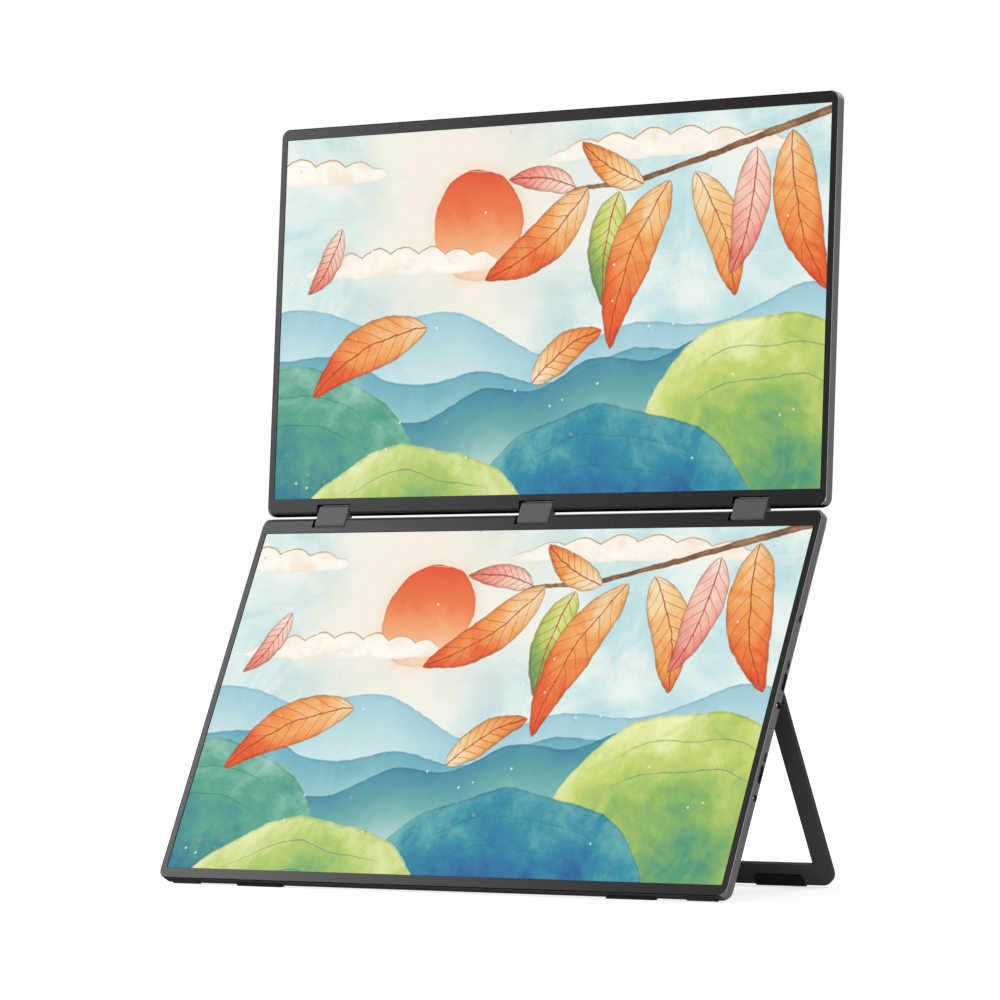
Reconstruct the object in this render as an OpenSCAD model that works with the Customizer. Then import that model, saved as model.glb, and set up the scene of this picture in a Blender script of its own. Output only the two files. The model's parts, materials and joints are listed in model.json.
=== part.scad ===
// Twin portable monitor. Two equal screens are joined edge to edge by three double-shaft
// hinges, and the lower screen leans back on a U-shaped kickstand.
//
// World frame: +Z up, the viewer looks along +Y, the floor is z = 0, and the origin is the
// middle of the footprint. Every screen piece is drawn in the screen's own frame: x across,
// y backwards from the front face, z away from the hinge edge.

/* [Display] */
// Width of the lit area of each display
active_w = 344.2; // [300:0.1:400]
// Height of the lit area of each display
active_h = 193.6; // [180:0.1:230]
// Bezel at the left and right of the lit area
bezel_side = 3.9; // [3.5:0.1:12]
// Bezel between the lit area and the hinge edge
bezel_hinge = 9.5; // [8.5:0.1:20]
// Bezel between the lit area and the outer edge
bezel_outer = 6.1; // [4.6:0.1:20]
// Thickness of the bezel plate
bezel_t = 0.5; // [0.4:0.05:0.7]
// Overlap of the bezel on the display cell
bezel_lip = 0.9; // [0.5:0.1:1.2]
// Thickness of the display cell
glass_t = 0.55; // [0.4:0.05:0.7]
// Thickness of the light guide and its films
guide_t = 0.55; // [0.4:0.05:0.6]
// Thickness of the backlight tray
tray_t = 0.2; // [0.15:0.05:0.25]
// Width of the LED strip beside the light guide
led_w = 1.2; // [0.8:0.1:2]

/* [Case] */
// Thickness of a screen at its left, right and outer rims
edge_t = 5.8; // [5.7:0.1:7]
// Thickness of the fully rounded hinge edge
nose_t = 5.2; // [5.1:0.1:5.6]
// Thickness behind the middle of a screen
body_t = 7.8; // [7.5:0.1:10]
// Width of the sloping band between the rim and the flat back
bevel_w = 5; // [4:0.1:9]
// Distance of the flat back from the hinge edge
ramp_end = 12.5; // [11.5:0.1:12.9]
// Radius of the case corners seen from the front
corner_r = 5; // [2.5:0.1:8]
// Radius of the front edge at the outer rim
front_r = 0.7; // [0.6:0.1:2]
// Thickness of the side walls
wall_t = 0.9; // [0.8:0.05:1.2]
// Thickness of the rear wall
floor_t = 0.9; // [0.7:0.05:1.1]
// Width of the metal rim that frames the bezel
rim_w = 0.5; // [0.3:0.05:0.6]
// Distance of the bezel from the hinge edge
bezel_start = 1.3; // [1.1:0.1:1.5]
// Thickness of the display ribs
rib_t = 1; // [0.8:0.1:2]
// Distance of the inner pair of display ribs from the middle
rib_in_x = 50; // [45:1:52]
// Distance of the outer pair of display ribs from the middle
rib_out_x = 100; // [98:1:104]
// Distance of the rib ends from the hinge edge and the outer edge
rib_end = 42; // [40:1:60]

/* [Hinges] */
// Distance of the outer hinges from the screen's sides
hinge_side = 44.4; // [38:0.1:56]
// Open gap between the two hinge edges
hinge_gap = 1.8; // [0.6:0.1:2]
// Distance of the hinge shafts from the hinge edge
shaft_in = 3.4; // [3:0.1:3.7]
// Width of the notch that holds a hinge link
notch_w = 21.6; // [18:0.1:26]
// Side play of a hinge link in its notch
link_play = 0.9; // [0.5:0.1:1.5]
// Thickness of a hinge link
link_t = 4.8; // [4.6:0.1:4.9]
// Clearance between a turning link and the bottom of its notch
notch_clear = 0.3; // [0.25:0.05:0.6]
// Wall of the tubular hinge cover
cover_t = 0.5; // [0.4:0.05:0.6]
// Thickness of the hinge end caps
cap_t = 0.8; // [0.6:0.1:1.5]
// Diameter of the hinge shafts
shaft_d = 2.2; // [1.6:0.1:2.4]
// Length of each bracket knuckle
knuckle_l = 7; // [5:0.1:9]
// Wall of the bracket knuckle around its shaft
knuckle_t = 0.78; // [0.6:0.02:0.8]
// Length of the bracket leaf from the shaft
leaf_l = 21.5; // [20:0.1:26]
// Thickness of the bracket leaf
leaf_t = 0.6; // [0.5:0.05:0.7]
// Distance of the first leaf screw from the shaft
leaf_screw_1 = 11.4; // [11:0.1:12]
// Distance of the second leaf screw from the shaft
leaf_screw_2 = 18.4; // [17:0.1:19]

/* [Pose] */
// Lean of the lower screen from the vertical
lower_lean = 25.5; // [20:0.5:30]
// Lean of the hinge links from the vertical
link_lean = 25.5; // [20:0.5:30]
// Lean of the upper screen from the vertical
upper_lean = 3.5; // [0:0.5:15]
// Lean of the opened kickstand from the vertical
stand_lean = 27.5; // [22:0.1:32]

/* [Kickstand] */
// Distance of the kickstand from the screen's sides
stand_side = 40; // [26:0.5:56]
// Height of the kickstand pivot above the lower edge
stand_pivot_z = 176; // [150:1:180]
// Width of the kickstand legs
leg_w = 10.6; // [9.5:0.1:16]
// Height of the kickstand foot bar
bar_h = 12; // [9:0.1:18]
// Thickness of the kickstand plate
stand_t = 2.4; // [2:0.1:3]
// Outer corner radius of the kickstand
stand_r = 8; // [5:0.5:11]
// Inner corner radius of the kickstand
stand_in_r = 1.5; // [1:0.1:4]
// Wall of the leg knuckle around the pivot pin
barrel_t = 0.95; // [0.8:0.05:1.1]
// Diameter of the pivot pins
pin_d = 2; // [1.6:0.1:2.2]
// Thickness of the bracket lugs
lug_t = 3; // [2:0.1:5]
// Height of the bracket plate above the pivot
bracket_h = 11; // [10.5:0.1:13]
// Thickness of the bracket plate
bracket_t = 1.6; // [1.4:0.1:2]
// Distance of the bracket screws from the leg's middle line
bracket_screw_x = 5; // [4:0.1:6]
// Height of the bracket screws above the pivot
bracket_screw_z = 7; // [6:0.1:7.5]
// Thickness of the friction washers
washer_t = 0.2; // [0.15:0.01:0.22]

/* [Feet] */
// Depth of floor clearance that the feet give the rim
foot_drop = 0.5; // [0.5:0.1:2]
// Length of the front feet
foot_l = 28; // [20:1:40]
// Distance of the front feet from the screen's sides
foot_side = 61; // [54:1:86]
// Shift of both front feet towards the ports
foot_shift = 4.4; // [0:0.1:8]
// Width of the front feet, front to back
foot_d = 3.2; // [2.5:0.1:4]
// Length of the corner pads
pad_l = 18; // [10:1:20]
// Distance of the corner pads from the screen's sides
pad_side = 16; // [16:1:24]
// Thickness of the corner pads
pad_t = 0.5; // [0.3:0.05:0.6]
// Length of the kickstand feet
stand_foot_l = 29.5; // [20:0.5:40]
// Distance of the kickstand feet from the kickstand's side
stand_foot_inset = 18.8; // [14:0.1:30]
// Height of the rubber on the foot bar
stand_foot_h = 5.4; // [4:0.1:8]
// Corner radius of the rubber on the foot bar
stand_foot_corner = 2.5; // [1:0.1:3]
// Rubber thickness on each face of the foot bar
stand_foot_t = 0.8; // [0.5:0.1:1.2]
// Rubber thickness below the foot bar
stand_foot_under = 1.2; // [0.6:0.1:1.4]

/* [Controls and ports] */
// Depth of the port line behind the front face
port_y = 3.83; // [3.8:0.01:3.9]
// Height of the upper button above the lower edge
button_z = 124.8; // [110:0.1:125]
// Distance between the two sets of ports
set_pitch = 49.6; // [44:0.1:52]
// Distance of the USB-C port below its button
usb_drop = 9.1; // [8.6:0.1:9.5]
// Distance of the audio jack below its button
jack_drop = 21.8; // [20:0.1:24]
// Height of the brightness key above the lower edge
key_z = 150; // [143:0.1:151]
// Height of the power button above the lower edge
power_z = 39.4; // [38:0.1:41]
// Length of the three pill buttons
button_l = 4.8; // [4:0.1:5]
// Height of the buttons across the rim
button_h = 2; // [1.6:0.1:2.4]
// Length of the brightness key
key_l = 3.9; // [3.4:0.1:6]
// Travel of the buttons
button_travel = 0.4; // [0.2:0.05:0.45]
// Play around the buttons
button_play = 0.15; // [0.1:0.05:0.2]
// Step of the collar that keeps a button in
collar_step = 0.5; // [0.3:0.1:0.5]
// Thickness of the button collar
collar_t = 0.5; // [0.4:0.1:0.6]
// Length of the slots for the USB-C ports
usb_slot_l = 10.2; // [9.6:0.1:10.4]
// Height of the slots for the USB-C ports
usb_slot_h = 3.2; // [3.1:0.05:3.4]
// Outer length of the USB-C receptacles
usb_l = 8.94; // [8.6:0.01:9.2]
// Outer height of the USB-C receptacles
usb_h = 3; // [2.8:0.05:3.1]
// Wall of the USB-C receptacles
usb_wall = 0.25; // [0.2:0.01:0.3]
// Depth of the USB-C receptacles
usb_d = 7.6; // [7:0.1:9]
// Diameter of the audio jacks' bore
jack_bore = 3.56; // [3.5:0.01:3.58]
// Depth of the audio jacks
jack_d = 13; // [11:0.1:15]
// Width of the audio jacks
jack_w = 6; // [5:0.1:6.4]
// Wall of the audio jacks beside the bore
jack_wall = 0.2; // [0.15:0.01:0.2]

/* [Electronics] */
// Width of the main board
board_w = 48.4; // [47.4:0.1:52.4]
// Lower edge of the main board
board_z = 32; // [30:1:33]
// Length of the main board
board_l = 124; // [122:1:126]
// Thickness of the main board
board_t = 0.8; // [0.6:0.1:0.8]
// Gap between the main board and the side wall
board_gap = 2.7; // [2.6:0.1:3]
// Length of the display driver boards
driver_l = 240; // [180:1:260]
// Width of the display driver boards
driver_w = 10; // [6:0.5:12]
// Thickness of the display driver boards
driver_t = 0.6; // [0.4:0.1:0.8]
// Distance of the display driver boards from the outer edge
driver_edge = 12; // [8:0.5:14]
// Length of the speakers
speaker_l = 40; // [30:1:42]
// Width of the speakers
speaker_w = 14; // [10:0.5:15]
// Thickness of the speakers
speaker_t = 3.2; // [2:0.1:3.2]
// Height of the speakers above the lower edge
speaker_z = 24; // [23:0.5:26]
// Width of the flat cables
cable_w = 9; // [6:0.5:10]
// Thickness of the flat cables
cable_t = 0.25; // [0.2:0.01:0.3]
// Number of sound slots behind each speaker
sound_slots = 11; // [5:1:12]
// Number of vent slots in each row
vent_slots = 9; // [5:1:9]
// Width of the sound and vent slots
slot_w = 1.3; // [1:0.1:1.6]
// Distance between neighbouring slots
slot_pitch = 3.2; // [2.6:0.1:3.4]
// Length of the sound slots
sound_slot_l = 7; // [5:0.5:8]
// Length of the vent slots
vent_slot_l = 18; // [10:0.5:22]

/* [Hidden] */
// Smallest play between pieces that are fixed to each other
fit = 0.02;
// Running play of a shaft in its bore
run = 0.05;
// Play between stacked parts
seat = 0.05;
// Gap between moving bodies
gap = 0.3;
// Overshoot of cutting bodies
cut = 1;
round_fn = 64;

screen_w = active_w + 2 * bezel_side;
screen_h = active_h + bezel_hinge + bezel_outer;
half_w = screen_w / 2;
nose_r = nose_t / 2;
shaft_r = shaft_d / 2;
shaft_pitch = 2 * shaft_in + hinge_gap;
hinge_pitch = half_w - hinge_side;
hinge_x = [-hinge_pitch, 0, hinge_pitch];
notch_d = shaft_in + link_t / 2 + notch_clear;
link_w = notch_w - 2 * link_play;

// Case sections
bevel_k = (body_t - edge_t) / bevel_w;
bevel_floor = floor_t * sqrt(1 + bevel_k * bevel_k);
ramp_start = notch_d + floor_t;
ramp_k = (body_t - nose_t) / (ramp_end - ramp_start);
ramp_floor = floor_t * sqrt(1 + ramp_k * ramp_k);
nose_wall = 0.6;
inner_back = body_t - floor_t;
side_wall_back = edge_t + wall_t * bevel_k - bevel_floor;
bevel_in = (inner_back - edge_t + bevel_floor) / bevel_k;
ramp_in = ramp_start + (inner_back - nose_t + ramp_floor) / ramp_k;
ramp_out = ramp_start + (nose_t - nose_wall - nose_t + ramp_floor) / ramp_k;
cavity_start = bezel_start + 0.3;

// Display stack
glass_y = bezel_t;
guide_y = glass_y + glass_t;
tray_y = guide_y + guide_t;
stack_y = tray_y + tray_t;
cell_w = active_w + 2 * bezel_lip;
cell_z = bezel_hinge - bezel_lip;
cell_h = active_h + 2 * bezel_lip;
tray_rim = 0.3;

// Hinge brackets
knuckle_r = shaft_r + fit + knuckle_t;
knuckle_x = notch_w / 2 + wall_t + 2 * seat;
leaf_y = nose_t - nose_wall - 2 * seat - leaf_t;
screw_r = 0.75;
screw_head_r = 1.5;
screw_head_t = 0.6;
boss_r = 2.2;
shaft_l = 2 * (knuckle_x + knuckle_l);

// Placement of the lower screen, the links and the upper screen
stand_foot_r = stand_t / 2 + stand_foot_t;
pivot_y = body_t + gap + stand_foot_r;
lower_z = edge_t * sin(lower_lean) + foot_drop;
pivot_up = lower_z + stand_pivot_z * cos(lower_lean) - pivot_y * sin(lower_lean);
stand_l = (pivot_up - stand_foot_r) / cos(stand_lean);
bar_end = stand_l + stand_foot_r - stand_foot_under;
front_reach = front_r * (sin(lower_lean) + cos(lower_lean) - 1);
pivot_back = pivot_y * cos(lower_lean) + stand_pivot_z * sin(lower_lean);
back_reach = pivot_back + stand_l * sin(stand_lean) + stand_foot_r;
lower_y = -(front_reach + back_reach) / 2;

function turned(y, z, lean) = [y * cos(lean) + z * sin(lean), z * cos(lean) - y * sin(lean)];
lower_shaft = [lower_y, lower_z] + turned(nose_r, screen_h - shaft_in, lower_lean);
upper_shaft = lower_shaft + turned(0, shaft_pitch, link_lean);
upper_base = upper_shaft - turned(nose_r, shaft_in, upper_lean);
stand_pivot = [lower_y, lower_z] + turned(pivot_y, stand_pivot_z, lower_lean);

// Kickstand bracket
stand_w = screen_w - 2 * stand_side;
leg_x = stand_w / 2 - leg_w / 2;
barrel_r = pin_d / 2 + run + barrel_t;
lug_x = leg_w / 2 + gap;
bracket_screw_r = 0.9;
bracket_head_r = 1.9;
bracket_head_t = 1;
bracket_boss_y = 4;

// Controls, ports and boards
wall_x = half_w - wall_t;
usb_end_x = half_w - 0.2;
usb_z = [button_z - usb_drop, button_z - set_pitch - usb_drop];
jack_z = [button_z - jack_drop, button_z - set_pitch - jack_drop];
pill_z = [button_z, button_z - set_pitch, power_z];
collar_x = wall_x - 0.2;
button_back_x = collar_x - collar_t;
button_face_x = half_w - 0.1;
switch_front_x = button_back_x - button_travel - 0.1;
switch_d = 3.2;
switch_w = 4.4;
board_y = port_y + usb_h / 2;
board_end_x = wall_x - board_gap;
board_x = board_end_x - board_w;
board_top = board_z + board_l;
board_screw_in = 5;
board_screw_out = 14;
board_screw_low = 14;
board_screw_high = 10;
board_screws = [for (x = [board_x + board_screw_in, board_end_x - board_screw_out],
                     z = [board_z + board_screw_low, board_top - board_screw_high]) [x, z]];
board_boss_r = 2;
speaker_x = (rib_in_x + rib_out_x) / 2;
driver_z = driver_edge;
socket_h = 1;
socket_l = 6;
socket_edge = 2;
link_socket_x = board_x + 4;
link_socket_z = board_top - socket_edge - socket_l;
display_socket_x = board_x + board_screw_in + socket_l - 1;
display_socket_z = board_z + 3 * socket_edge;

// Main chips beside each USB-C port
chip_side = 13;
chip_l = 14;
chip_t = 1.2;
memory_l = 5;
memory_t = 1;
coil_l = 6;
coil_t = 2;
chip_gap = 3;

// ---------- Frames ----------

// Lower screen, z measured up from its lower edge
module on_lower() {
    translate([0, lower_y, lower_z]) rotate([-lower_lean, 0, 0]) children();
}

// Lower screen, z measured down from its hinge edge
module on_lower_screen() {
    on_lower() translate([0, 0, screen_h]) mirror([0, 0, 1]) children();
}

// Upper screen, z measured up from its hinge edge
module on_upper_screen() {
    translate([0, upper_base[0], upper_base[1]]) rotate([-upper_lean, 0, 0]) children();
}

// Hinge links, with the lower shaft at the origin and the upper shaft on +z
module on_links() {
    translate([0, lower_shaft[0], lower_shaft[1]]) rotate([-link_lean, 0, 0]) children();
}

// Kickstand, with its pivot at the origin and its legs along -z
module on_stand() {
    translate([0, stand_pivot[0], stand_pivot[1]]) rotate([stand_lean, 0, 0]) children();
}

// Extrudes a shape drawn in (y, z) along x, from x0 to x0 + l
module along_x(x0, l) {
    translate([x0, 0, 0]) rotate([90, 0, 90]) linear_extrude(l) children();
}

// Extrudes a shape drawn in (x, z) along y, from y0 to y0 + l
module along_y(y0, l) {
    translate([0, y0 + l, 0]) rotate([90, 0, 0]) linear_extrude(l) children();
}

// Block between two corners
module block(a, b) {
    translate(a) cube(b - a);
}

// Cylinder along +y from depth y0 to depth y1
module peg_y(x, y0, y1, z, r) {
    translate([x, y0, z]) rotate([-90, 0, 0]) cylinder(r = r, h = y1 - y0, $fn = round_fn);
}

// Cylinder along x, centred on x
module peg_x(x, y, z, l, r) {
    translate([x - l / 2, y, z]) rotate([0, 90, 0]) cylinder(r = r, h = l, $fn = round_fn);
}

// ---------- Outlines ----------

// Rounded rectangle between two corners
module round_rect(x0, z0, x1, z1, r) {
    translate([x0 + r, z0]) square([x1 - x0 - 2 * r, z1 - z0]);
    translate([x0, z0 + r]) square([x1 - x0, z1 - z0 - 2 * r]);
    for (x = [x0 + r, x1 - r], z = [z0 + r, z1 - r])
        translate([x, z]) circle(r = r, $fn = round_fn);
}

// Stadium of length l along the second axis and width w
module stadium(l, w) {
    translate([-w / 2, -(l - w) / 2]) square([w, l - w]);
    for (s = [-1, 1])
        translate([0, s * (l - w) / 2]) circle(r = w / 2, $fn = round_fn);
}

// Section of a hinge link: two round ends on the shafts
module link_section(r) {
    circle(r = r, $fn = round_fn);
    translate([0, shaft_pitch]) circle(r = r, $fn = round_fn);
    translate([-r, 0]) square([2 * r, shaft_pitch]);
}

// ---------- Screen shells ----------

module case_width_section() {
    polygon([[-half_w, 0], [half_w, 0], [half_w, edge_t], [half_w - bevel_w, body_t],
             [bevel_w - half_w, body_t], [-half_w, edge_t]]);
}

// Corner waste that leaves a quarter or half round of radius r about (y, z)
module rounding(y0, z0, y1, z1, y, z, r) {
    difference() {
        translate([y0, z0]) square([y1 - y0, z1 - z0]);
        translate([y, z]) circle(r = r, $fn = round_fn);
    }
}

module case_height_section() {
    difference() {
        polygon([[0, 0], [0, screen_h], [edge_t, screen_h], [body_t, screen_h - bevel_w],
                 [body_t, ramp_end], [nose_t, ramp_start], [nose_t, 0]]);
        rounding(-cut, -cut, nose_t + cut, nose_r, nose_r, nose_r, nose_r);
        rounding(-cut, screen_h - front_r, front_r, screen_h + cut, front_r, screen_h - front_r,
                 front_r);
    }
}

module case_envelope() {
    intersection() {
        linear_extrude(screen_h) case_width_section();
        along_x(-half_w, screen_w) case_height_section();
        along_y(0, body_t) round_rect(-half_w, 0, half_w, screen_h, corner_r);
    }
}

module cavity_width_section() {
    polygon([[-wall_x, -cut], [wall_x, -cut], [wall_x, side_wall_back],
             [half_w - bevel_in, inner_back], [bevel_in - half_w, inner_back],
             [-wall_x, side_wall_back]]);
}

module cavity_height_section() {
    back = nose_t - nose_wall;
    inner_r = nose_r - nose_wall;
    difference() {
        polygon([[-cut, cavity_start], [-cut, screen_h - wall_t],
                 [side_wall_back, screen_h - wall_t], [inner_back, screen_h - bevel_in],
                 [inner_back, ramp_in], [back, ramp_out], [back, 0], [0, 0], [0, cavity_start]]);
        rounding(-cut, -cut, nose_r, cavity_start, nose_r, nose_r, inner_r);
        rounding(nose_r, -cut, nose_t, nose_r, nose_r, nose_r, inner_r);
    }
}

module notches(grow) {
    for (x = hinge_x)
        block([x - notch_w / 2 - grow, -cut, -cut],
              [x + notch_w / 2 + grow, body_t + cut, notch_d + grow]);
}

module case_cavity() {
    difference() {
        intersection() {
            linear_extrude(screen_h) cavity_width_section();
            along_x(-half_w, screen_w) cavity_height_section();
            along_y(-cut, body_t + cut)
                round_rect(-wall_x, nose_wall - seat, wall_x, screen_h - wall_t, corner_r - wall_t);
        }
        notches(wall_t);
    }
}

module bezel_seat(play) {
    inset = rim_w + play;
    along_y(-cut, bezel_t + cut)
        round_rect(inset - half_w, bezel_start + play, half_w - inset, screen_h - inset,
                   corner_r - inset);
}

// Positions of the leaf screws on both sides of each hinge
module at_leaf_screws() {
    for (x = hinge_x, s = [-1, 1], d = [leaf_screw_1, leaf_screw_2])
        translate([x + s * (knuckle_x + knuckle_l / 2), 0, shaft_in + d]) children();
}

module rear_shell(rib_xs) {
    difference() {
        union() {
            difference() {
                case_envelope();
                bezel_seat(0);
                case_cavity();
            }
            at_leaf_screws() peg_y(0, leaf_y + leaf_t, inner_back + seat, 0, boss_r);
            for (x = rib_xs)
                block([x - rib_t / 2, stack_y + seat, rib_end],
                      [x + rib_t / 2, inner_back + seat, screen_h - rib_end]);
        }
        notches(0);
        at_leaf_screws() peg_y(0, leaf_y, inner_back - 0.3, 0, screw_r + fit);
        for (x = hinge_x)
            peg_x(x, nose_r, shaft_in, notch_w + 2 * wall_t + cut, shaft_r + run);
    }
}

module bezel() {
    difference() {
        intersection() {
            case_envelope();
            bezel_seat(seat);
        }
        block([-active_w / 2, -cut, bezel_hinge],
              [active_w / 2, bezel_t + cut, bezel_hinge + active_h]);
        notches(0);
    }
}

// ---------- Display stack ----------

module lcd_glass() {
    block([-cell_w / 2, glass_y, cell_z], [cell_w / 2, guide_y, cell_z + cell_h]);
}

module light_guide() {
    block([-cell_w / 2, guide_y, cell_z],
          [cell_w / 2, tray_y, cell_z + cell_h - led_w - 2 * seat]);
}

module led_strip() {
    block([-active_w / 2, guide_y, cell_z + cell_h - led_w - seat],
          [active_w / 2, tray_y, cell_z + cell_h - seat]);
}

module backlight_tray() {
    grow = seat + tray_rim;
    difference() {
        block([-cell_w / 2 - grow, glass_y + seat, cell_z - grow],
              [cell_w / 2 + grow, stack_y, cell_z + cell_h + grow]);
        block([-cell_w / 2 - seat, -cut, cell_z - seat],
              [cell_w / 2 + seat, tray_y, cell_z + cell_h + seat]);
    }
}

// Driver board with its two cable sockets, z measured from the outer edge
module driver_board() {
    top = screen_h - driver_z;
    block([-driver_l / 2, stack_y, top - driver_w], [driver_l / 2, stack_y + driver_t, top]);
    for (s = [-1, 1])
        block([s * driver_l / 4 - 8, stack_y + driver_t, top - driver_w + 2],
              [s * driver_l / 4 + 8, stack_y + driver_t + socket_h, top - 3]);
}

// ---------- Hinges ----------

module hinge_brackets() {
    for (x = hinge_x, s = [-1, 1])
        translate([x + s * (knuckle_x + knuckle_l / 2), 0, 0])
            difference() {
                union() {
                    peg_x(0, nose_r, shaft_in, knuckle_l, knuckle_r);
                    block([-knuckle_l / 2, leaf_y, shaft_in],
                          [knuckle_l / 2, leaf_y + leaf_t, shaft_in + leaf_l]);
                }
                peg_x(0, nose_r, shaft_in, knuckle_l + cut, shaft_r + fit);
                for (d = [leaf_screw_1, leaf_screw_2])
                    peg_y(0, leaf_y - cut, leaf_y + leaf_t + cut, shaft_in + d, screw_r + run);
            }
}

module hinge_shafts() {
    for (x = hinge_x)
        peg_x(x, nose_r, shaft_in, shaft_l, shaft_r);
}

module hinge_screws() {
    at_leaf_screws() {
        peg_y(0, leaf_y - screw_head_t, leaf_y, 0, screw_head_r);
        peg_y(0, leaf_y, inner_back - 0.5, 0, screw_r);
    }
}

module hinge_cover(x) {
    l = link_w - 2 * cap_t;
    color("#5a5a5c") on_links() translate([x, 0, 0])
        difference() {
            along_x(-l / 2, l) link_section(link_t / 2);
            along_x(-l / 2 - cut, l + 2 * cut) link_section(link_t / 2 - cover_t);
        }
}

module hinge_cover_left() {
    hinge_cover(hinge_x[0]);
}

module hinge_cover_middle() {
    hinge_cover(hinge_x[1]);
}

module hinge_cover_right() {
    hinge_cover(hinge_x[2]);
}

module hinge_end_caps() {
    color("#4c4c4e") on_links()
        for (x = hinge_x, s = [-1, 1])
            difference() {
                along_x(x + s * (link_w - cap_t) / 2 - cap_t / 2, cap_t) link_section(link_t / 2);
                for (z = [0, shaft_pitch])
                    peg_x(x + s * (link_w - cap_t) / 2, 0, z, cap_t + cut, shaft_r + run);
            }
}

module hinge_torque_blocks() {
    l = link_w - 2 * cap_t - 2 * seat;
    color("#8d8f92") on_links()
        for (x = hinge_x)
            difference() {
                along_x(x - l / 2, l) link_section(link_t / 2 - cover_t - fit);
                for (z = [0, shaft_pitch])
                    peg_x(x, 0, z, l + cut, shaft_r + run);
            }
}

// ---------- Lower screen ----------

// Screw positions on the kickstand brackets, at the flat back
module at_bracket_screws() {
    for (x = [-leg_x, leg_x], s = [-1, 1])
        translate([x + s * bracket_screw_x, body_t, stand_pivot_z + bracket_screw_z]) children();
}

module slot_row(x, z, count, l) {
    for (i = [0:count - 1])
        along_y(inner_back - cut, floor_t + 2 * cut)
            translate([x + (i - (count - 1) / 2) * slot_pitch, z]) stadium(l, slot_w);
}

module lower_bosses() {
    for (p = board_screws)
        peg_y(p[0], board_y + board_t, inner_back + seat, p[1], board_boss_r);
    at_bracket_screws() peg_y(0, bracket_boss_y - body_t, seat - floor_t, 0, boss_r);
}

module side_cuts() {
    for (z = usb_z)
        along_x(board_end_x, wall_t + board_gap + cut)
            translate([port_y, z]) stadium(usb_slot_l, usb_slot_h);
    for (z = jack_z) {
        peg_x(half_w, port_y, z, 2 * wall_t + cut, jack_bore / 2 + fit);
        block([wall_x - jack_d - seat, stack_y, z - jack_w / 2 - seat],
              [wall_x, port_y + jack_bore / 2 + jack_wall + seat, z + jack_w / 2 + seat]);
    }
    for (z = pill_z)
        button_hole(z, button_l, button_h);
    button_hole(key_z, key_l, button_h);
}

module button_hole(z, l, h) {
    grow = 2 * button_play;
    along_x(wall_x - cut, wall_t + 2 * cut)
        translate([port_y, z]) stadium(l + grow, h + grow);
    reach = 2 * (collar_step + button_play);
    along_x(board_end_x, board_gap)
        translate([port_y, z]) stadium(l + reach, h + reach);
}

module lower_rear_shell() {
    color("#6f6f71") on_lower()
        difference() {
            union() {
                translate([0, 0, screen_h]) mirror([0, 0, 1])
                    rear_shell([-rib_out_x, -rib_in_x, rib_in_x, rib_out_x]);
                lower_bosses();
            }
            side_cuts();
            for (s = [-1, 1])
                slot_row(s * speaker_x, speaker_z + speaker_w / 2, sound_slots, sound_slot_l);
            for (z = [board_z + board_l / 3, board_top - board_l / 3])
                slot_row((board_x + board_end_x) / 2, z, vent_slots, vent_slot_l);
            for (p = board_screws)
                peg_y(p[0], board_y, inner_back - 0.1, p[1], screw_r + fit);
            at_bracket_screws()
                peg_y(0, bracket_boss_y - body_t + 0.5, cut, 0, bracket_screw_r + run);
        }
}

module lower_bezel() {
    color("#3a3a3c") on_lower_screen() bezel();
}

module lower_lcd_glass() {
    color("#9fc4cf") on_lower_screen() lcd_glass();
}

module lower_light_guide() {
    color("#eef2f4") on_lower_screen() light_guide();
}

module lower_backlight_tray() {
    color("#b9bcc0") on_lower_screen() backlight_tray();
}

module lower_led_strip() {
    color("#f1ecd0") on_lower_screen() led_strip();
}

module lower_driver_board() {
    color("#1d5b3a") on_lower_screen() driver_board();
}

module lower_hinge_brackets() {
    color("#97999c") on_lower_screen() hinge_brackets();
}

module lower_hinge_shafts() {
    color("#b0b2b5") on_lower_screen() hinge_shafts();
}

module lower_hinge_screws() {
    color("#c4c6c9") on_lower_screen() hinge_screws();
}

// ---------- Main board, ports and controls ----------

module main_board() {
    socket_y = stack_y + cable_t;
    color("#174f33") on_lower()
        difference() {
            union() {
                block([board_x, board_y, board_z], [board_end_x, board_y + board_t, board_z + board_l]);
                block([link_socket_x, socket_y, link_socket_z],
                      [link_socket_x + cable_w, board_y, link_socket_z + socket_l]);
                block([display_socket_x, socket_y, display_socket_z],
                      [display_socket_x + socket_l, board_y, display_socket_z + cable_w]);
            }
            for (z = jack_z)
                block([wall_x - jack_d - 2 * seat, board_y - cut, z - jack_w / 2 - 2 * seat],
                      [half_w, board_y + board_t + cut, z + jack_w / 2 + 2 * seat]);
            for (p = board_screws)
                peg_y(p[0], board_y - cut, board_y + board_t + cut, p[1], screw_r + run);
        }
}

module main_board_chips() {
    chip_x = board_x + chip_side;
    coil_x = chip_x + chip_l + chip_gap;
    memory_x = chip_x - chip_gap - memory_l;
    color("#202124") on_lower()
        for (z = usb_z) {
            block([chip_x, board_y - chip_t, z - chip_l / 2],
                  [chip_x + chip_l, board_y, z + chip_l / 2]);
            block([coil_x, board_y - coil_t, z], [coil_x + coil_l, board_y, z + coil_l]);
            block([memory_x, board_y - memory_t, z], [memory_x + memory_l, board_y, z + memory_l]);
        }
}

module main_board_screws() {
    color("#c4c6c9") on_lower()
        for (p = board_screws) {
            peg_y(p[0], board_y - screw_head_t, board_y, p[1], screw_head_r);
            peg_y(p[0], board_y, inner_back - 0.2, p[1], screw_r);
        }
}

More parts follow.
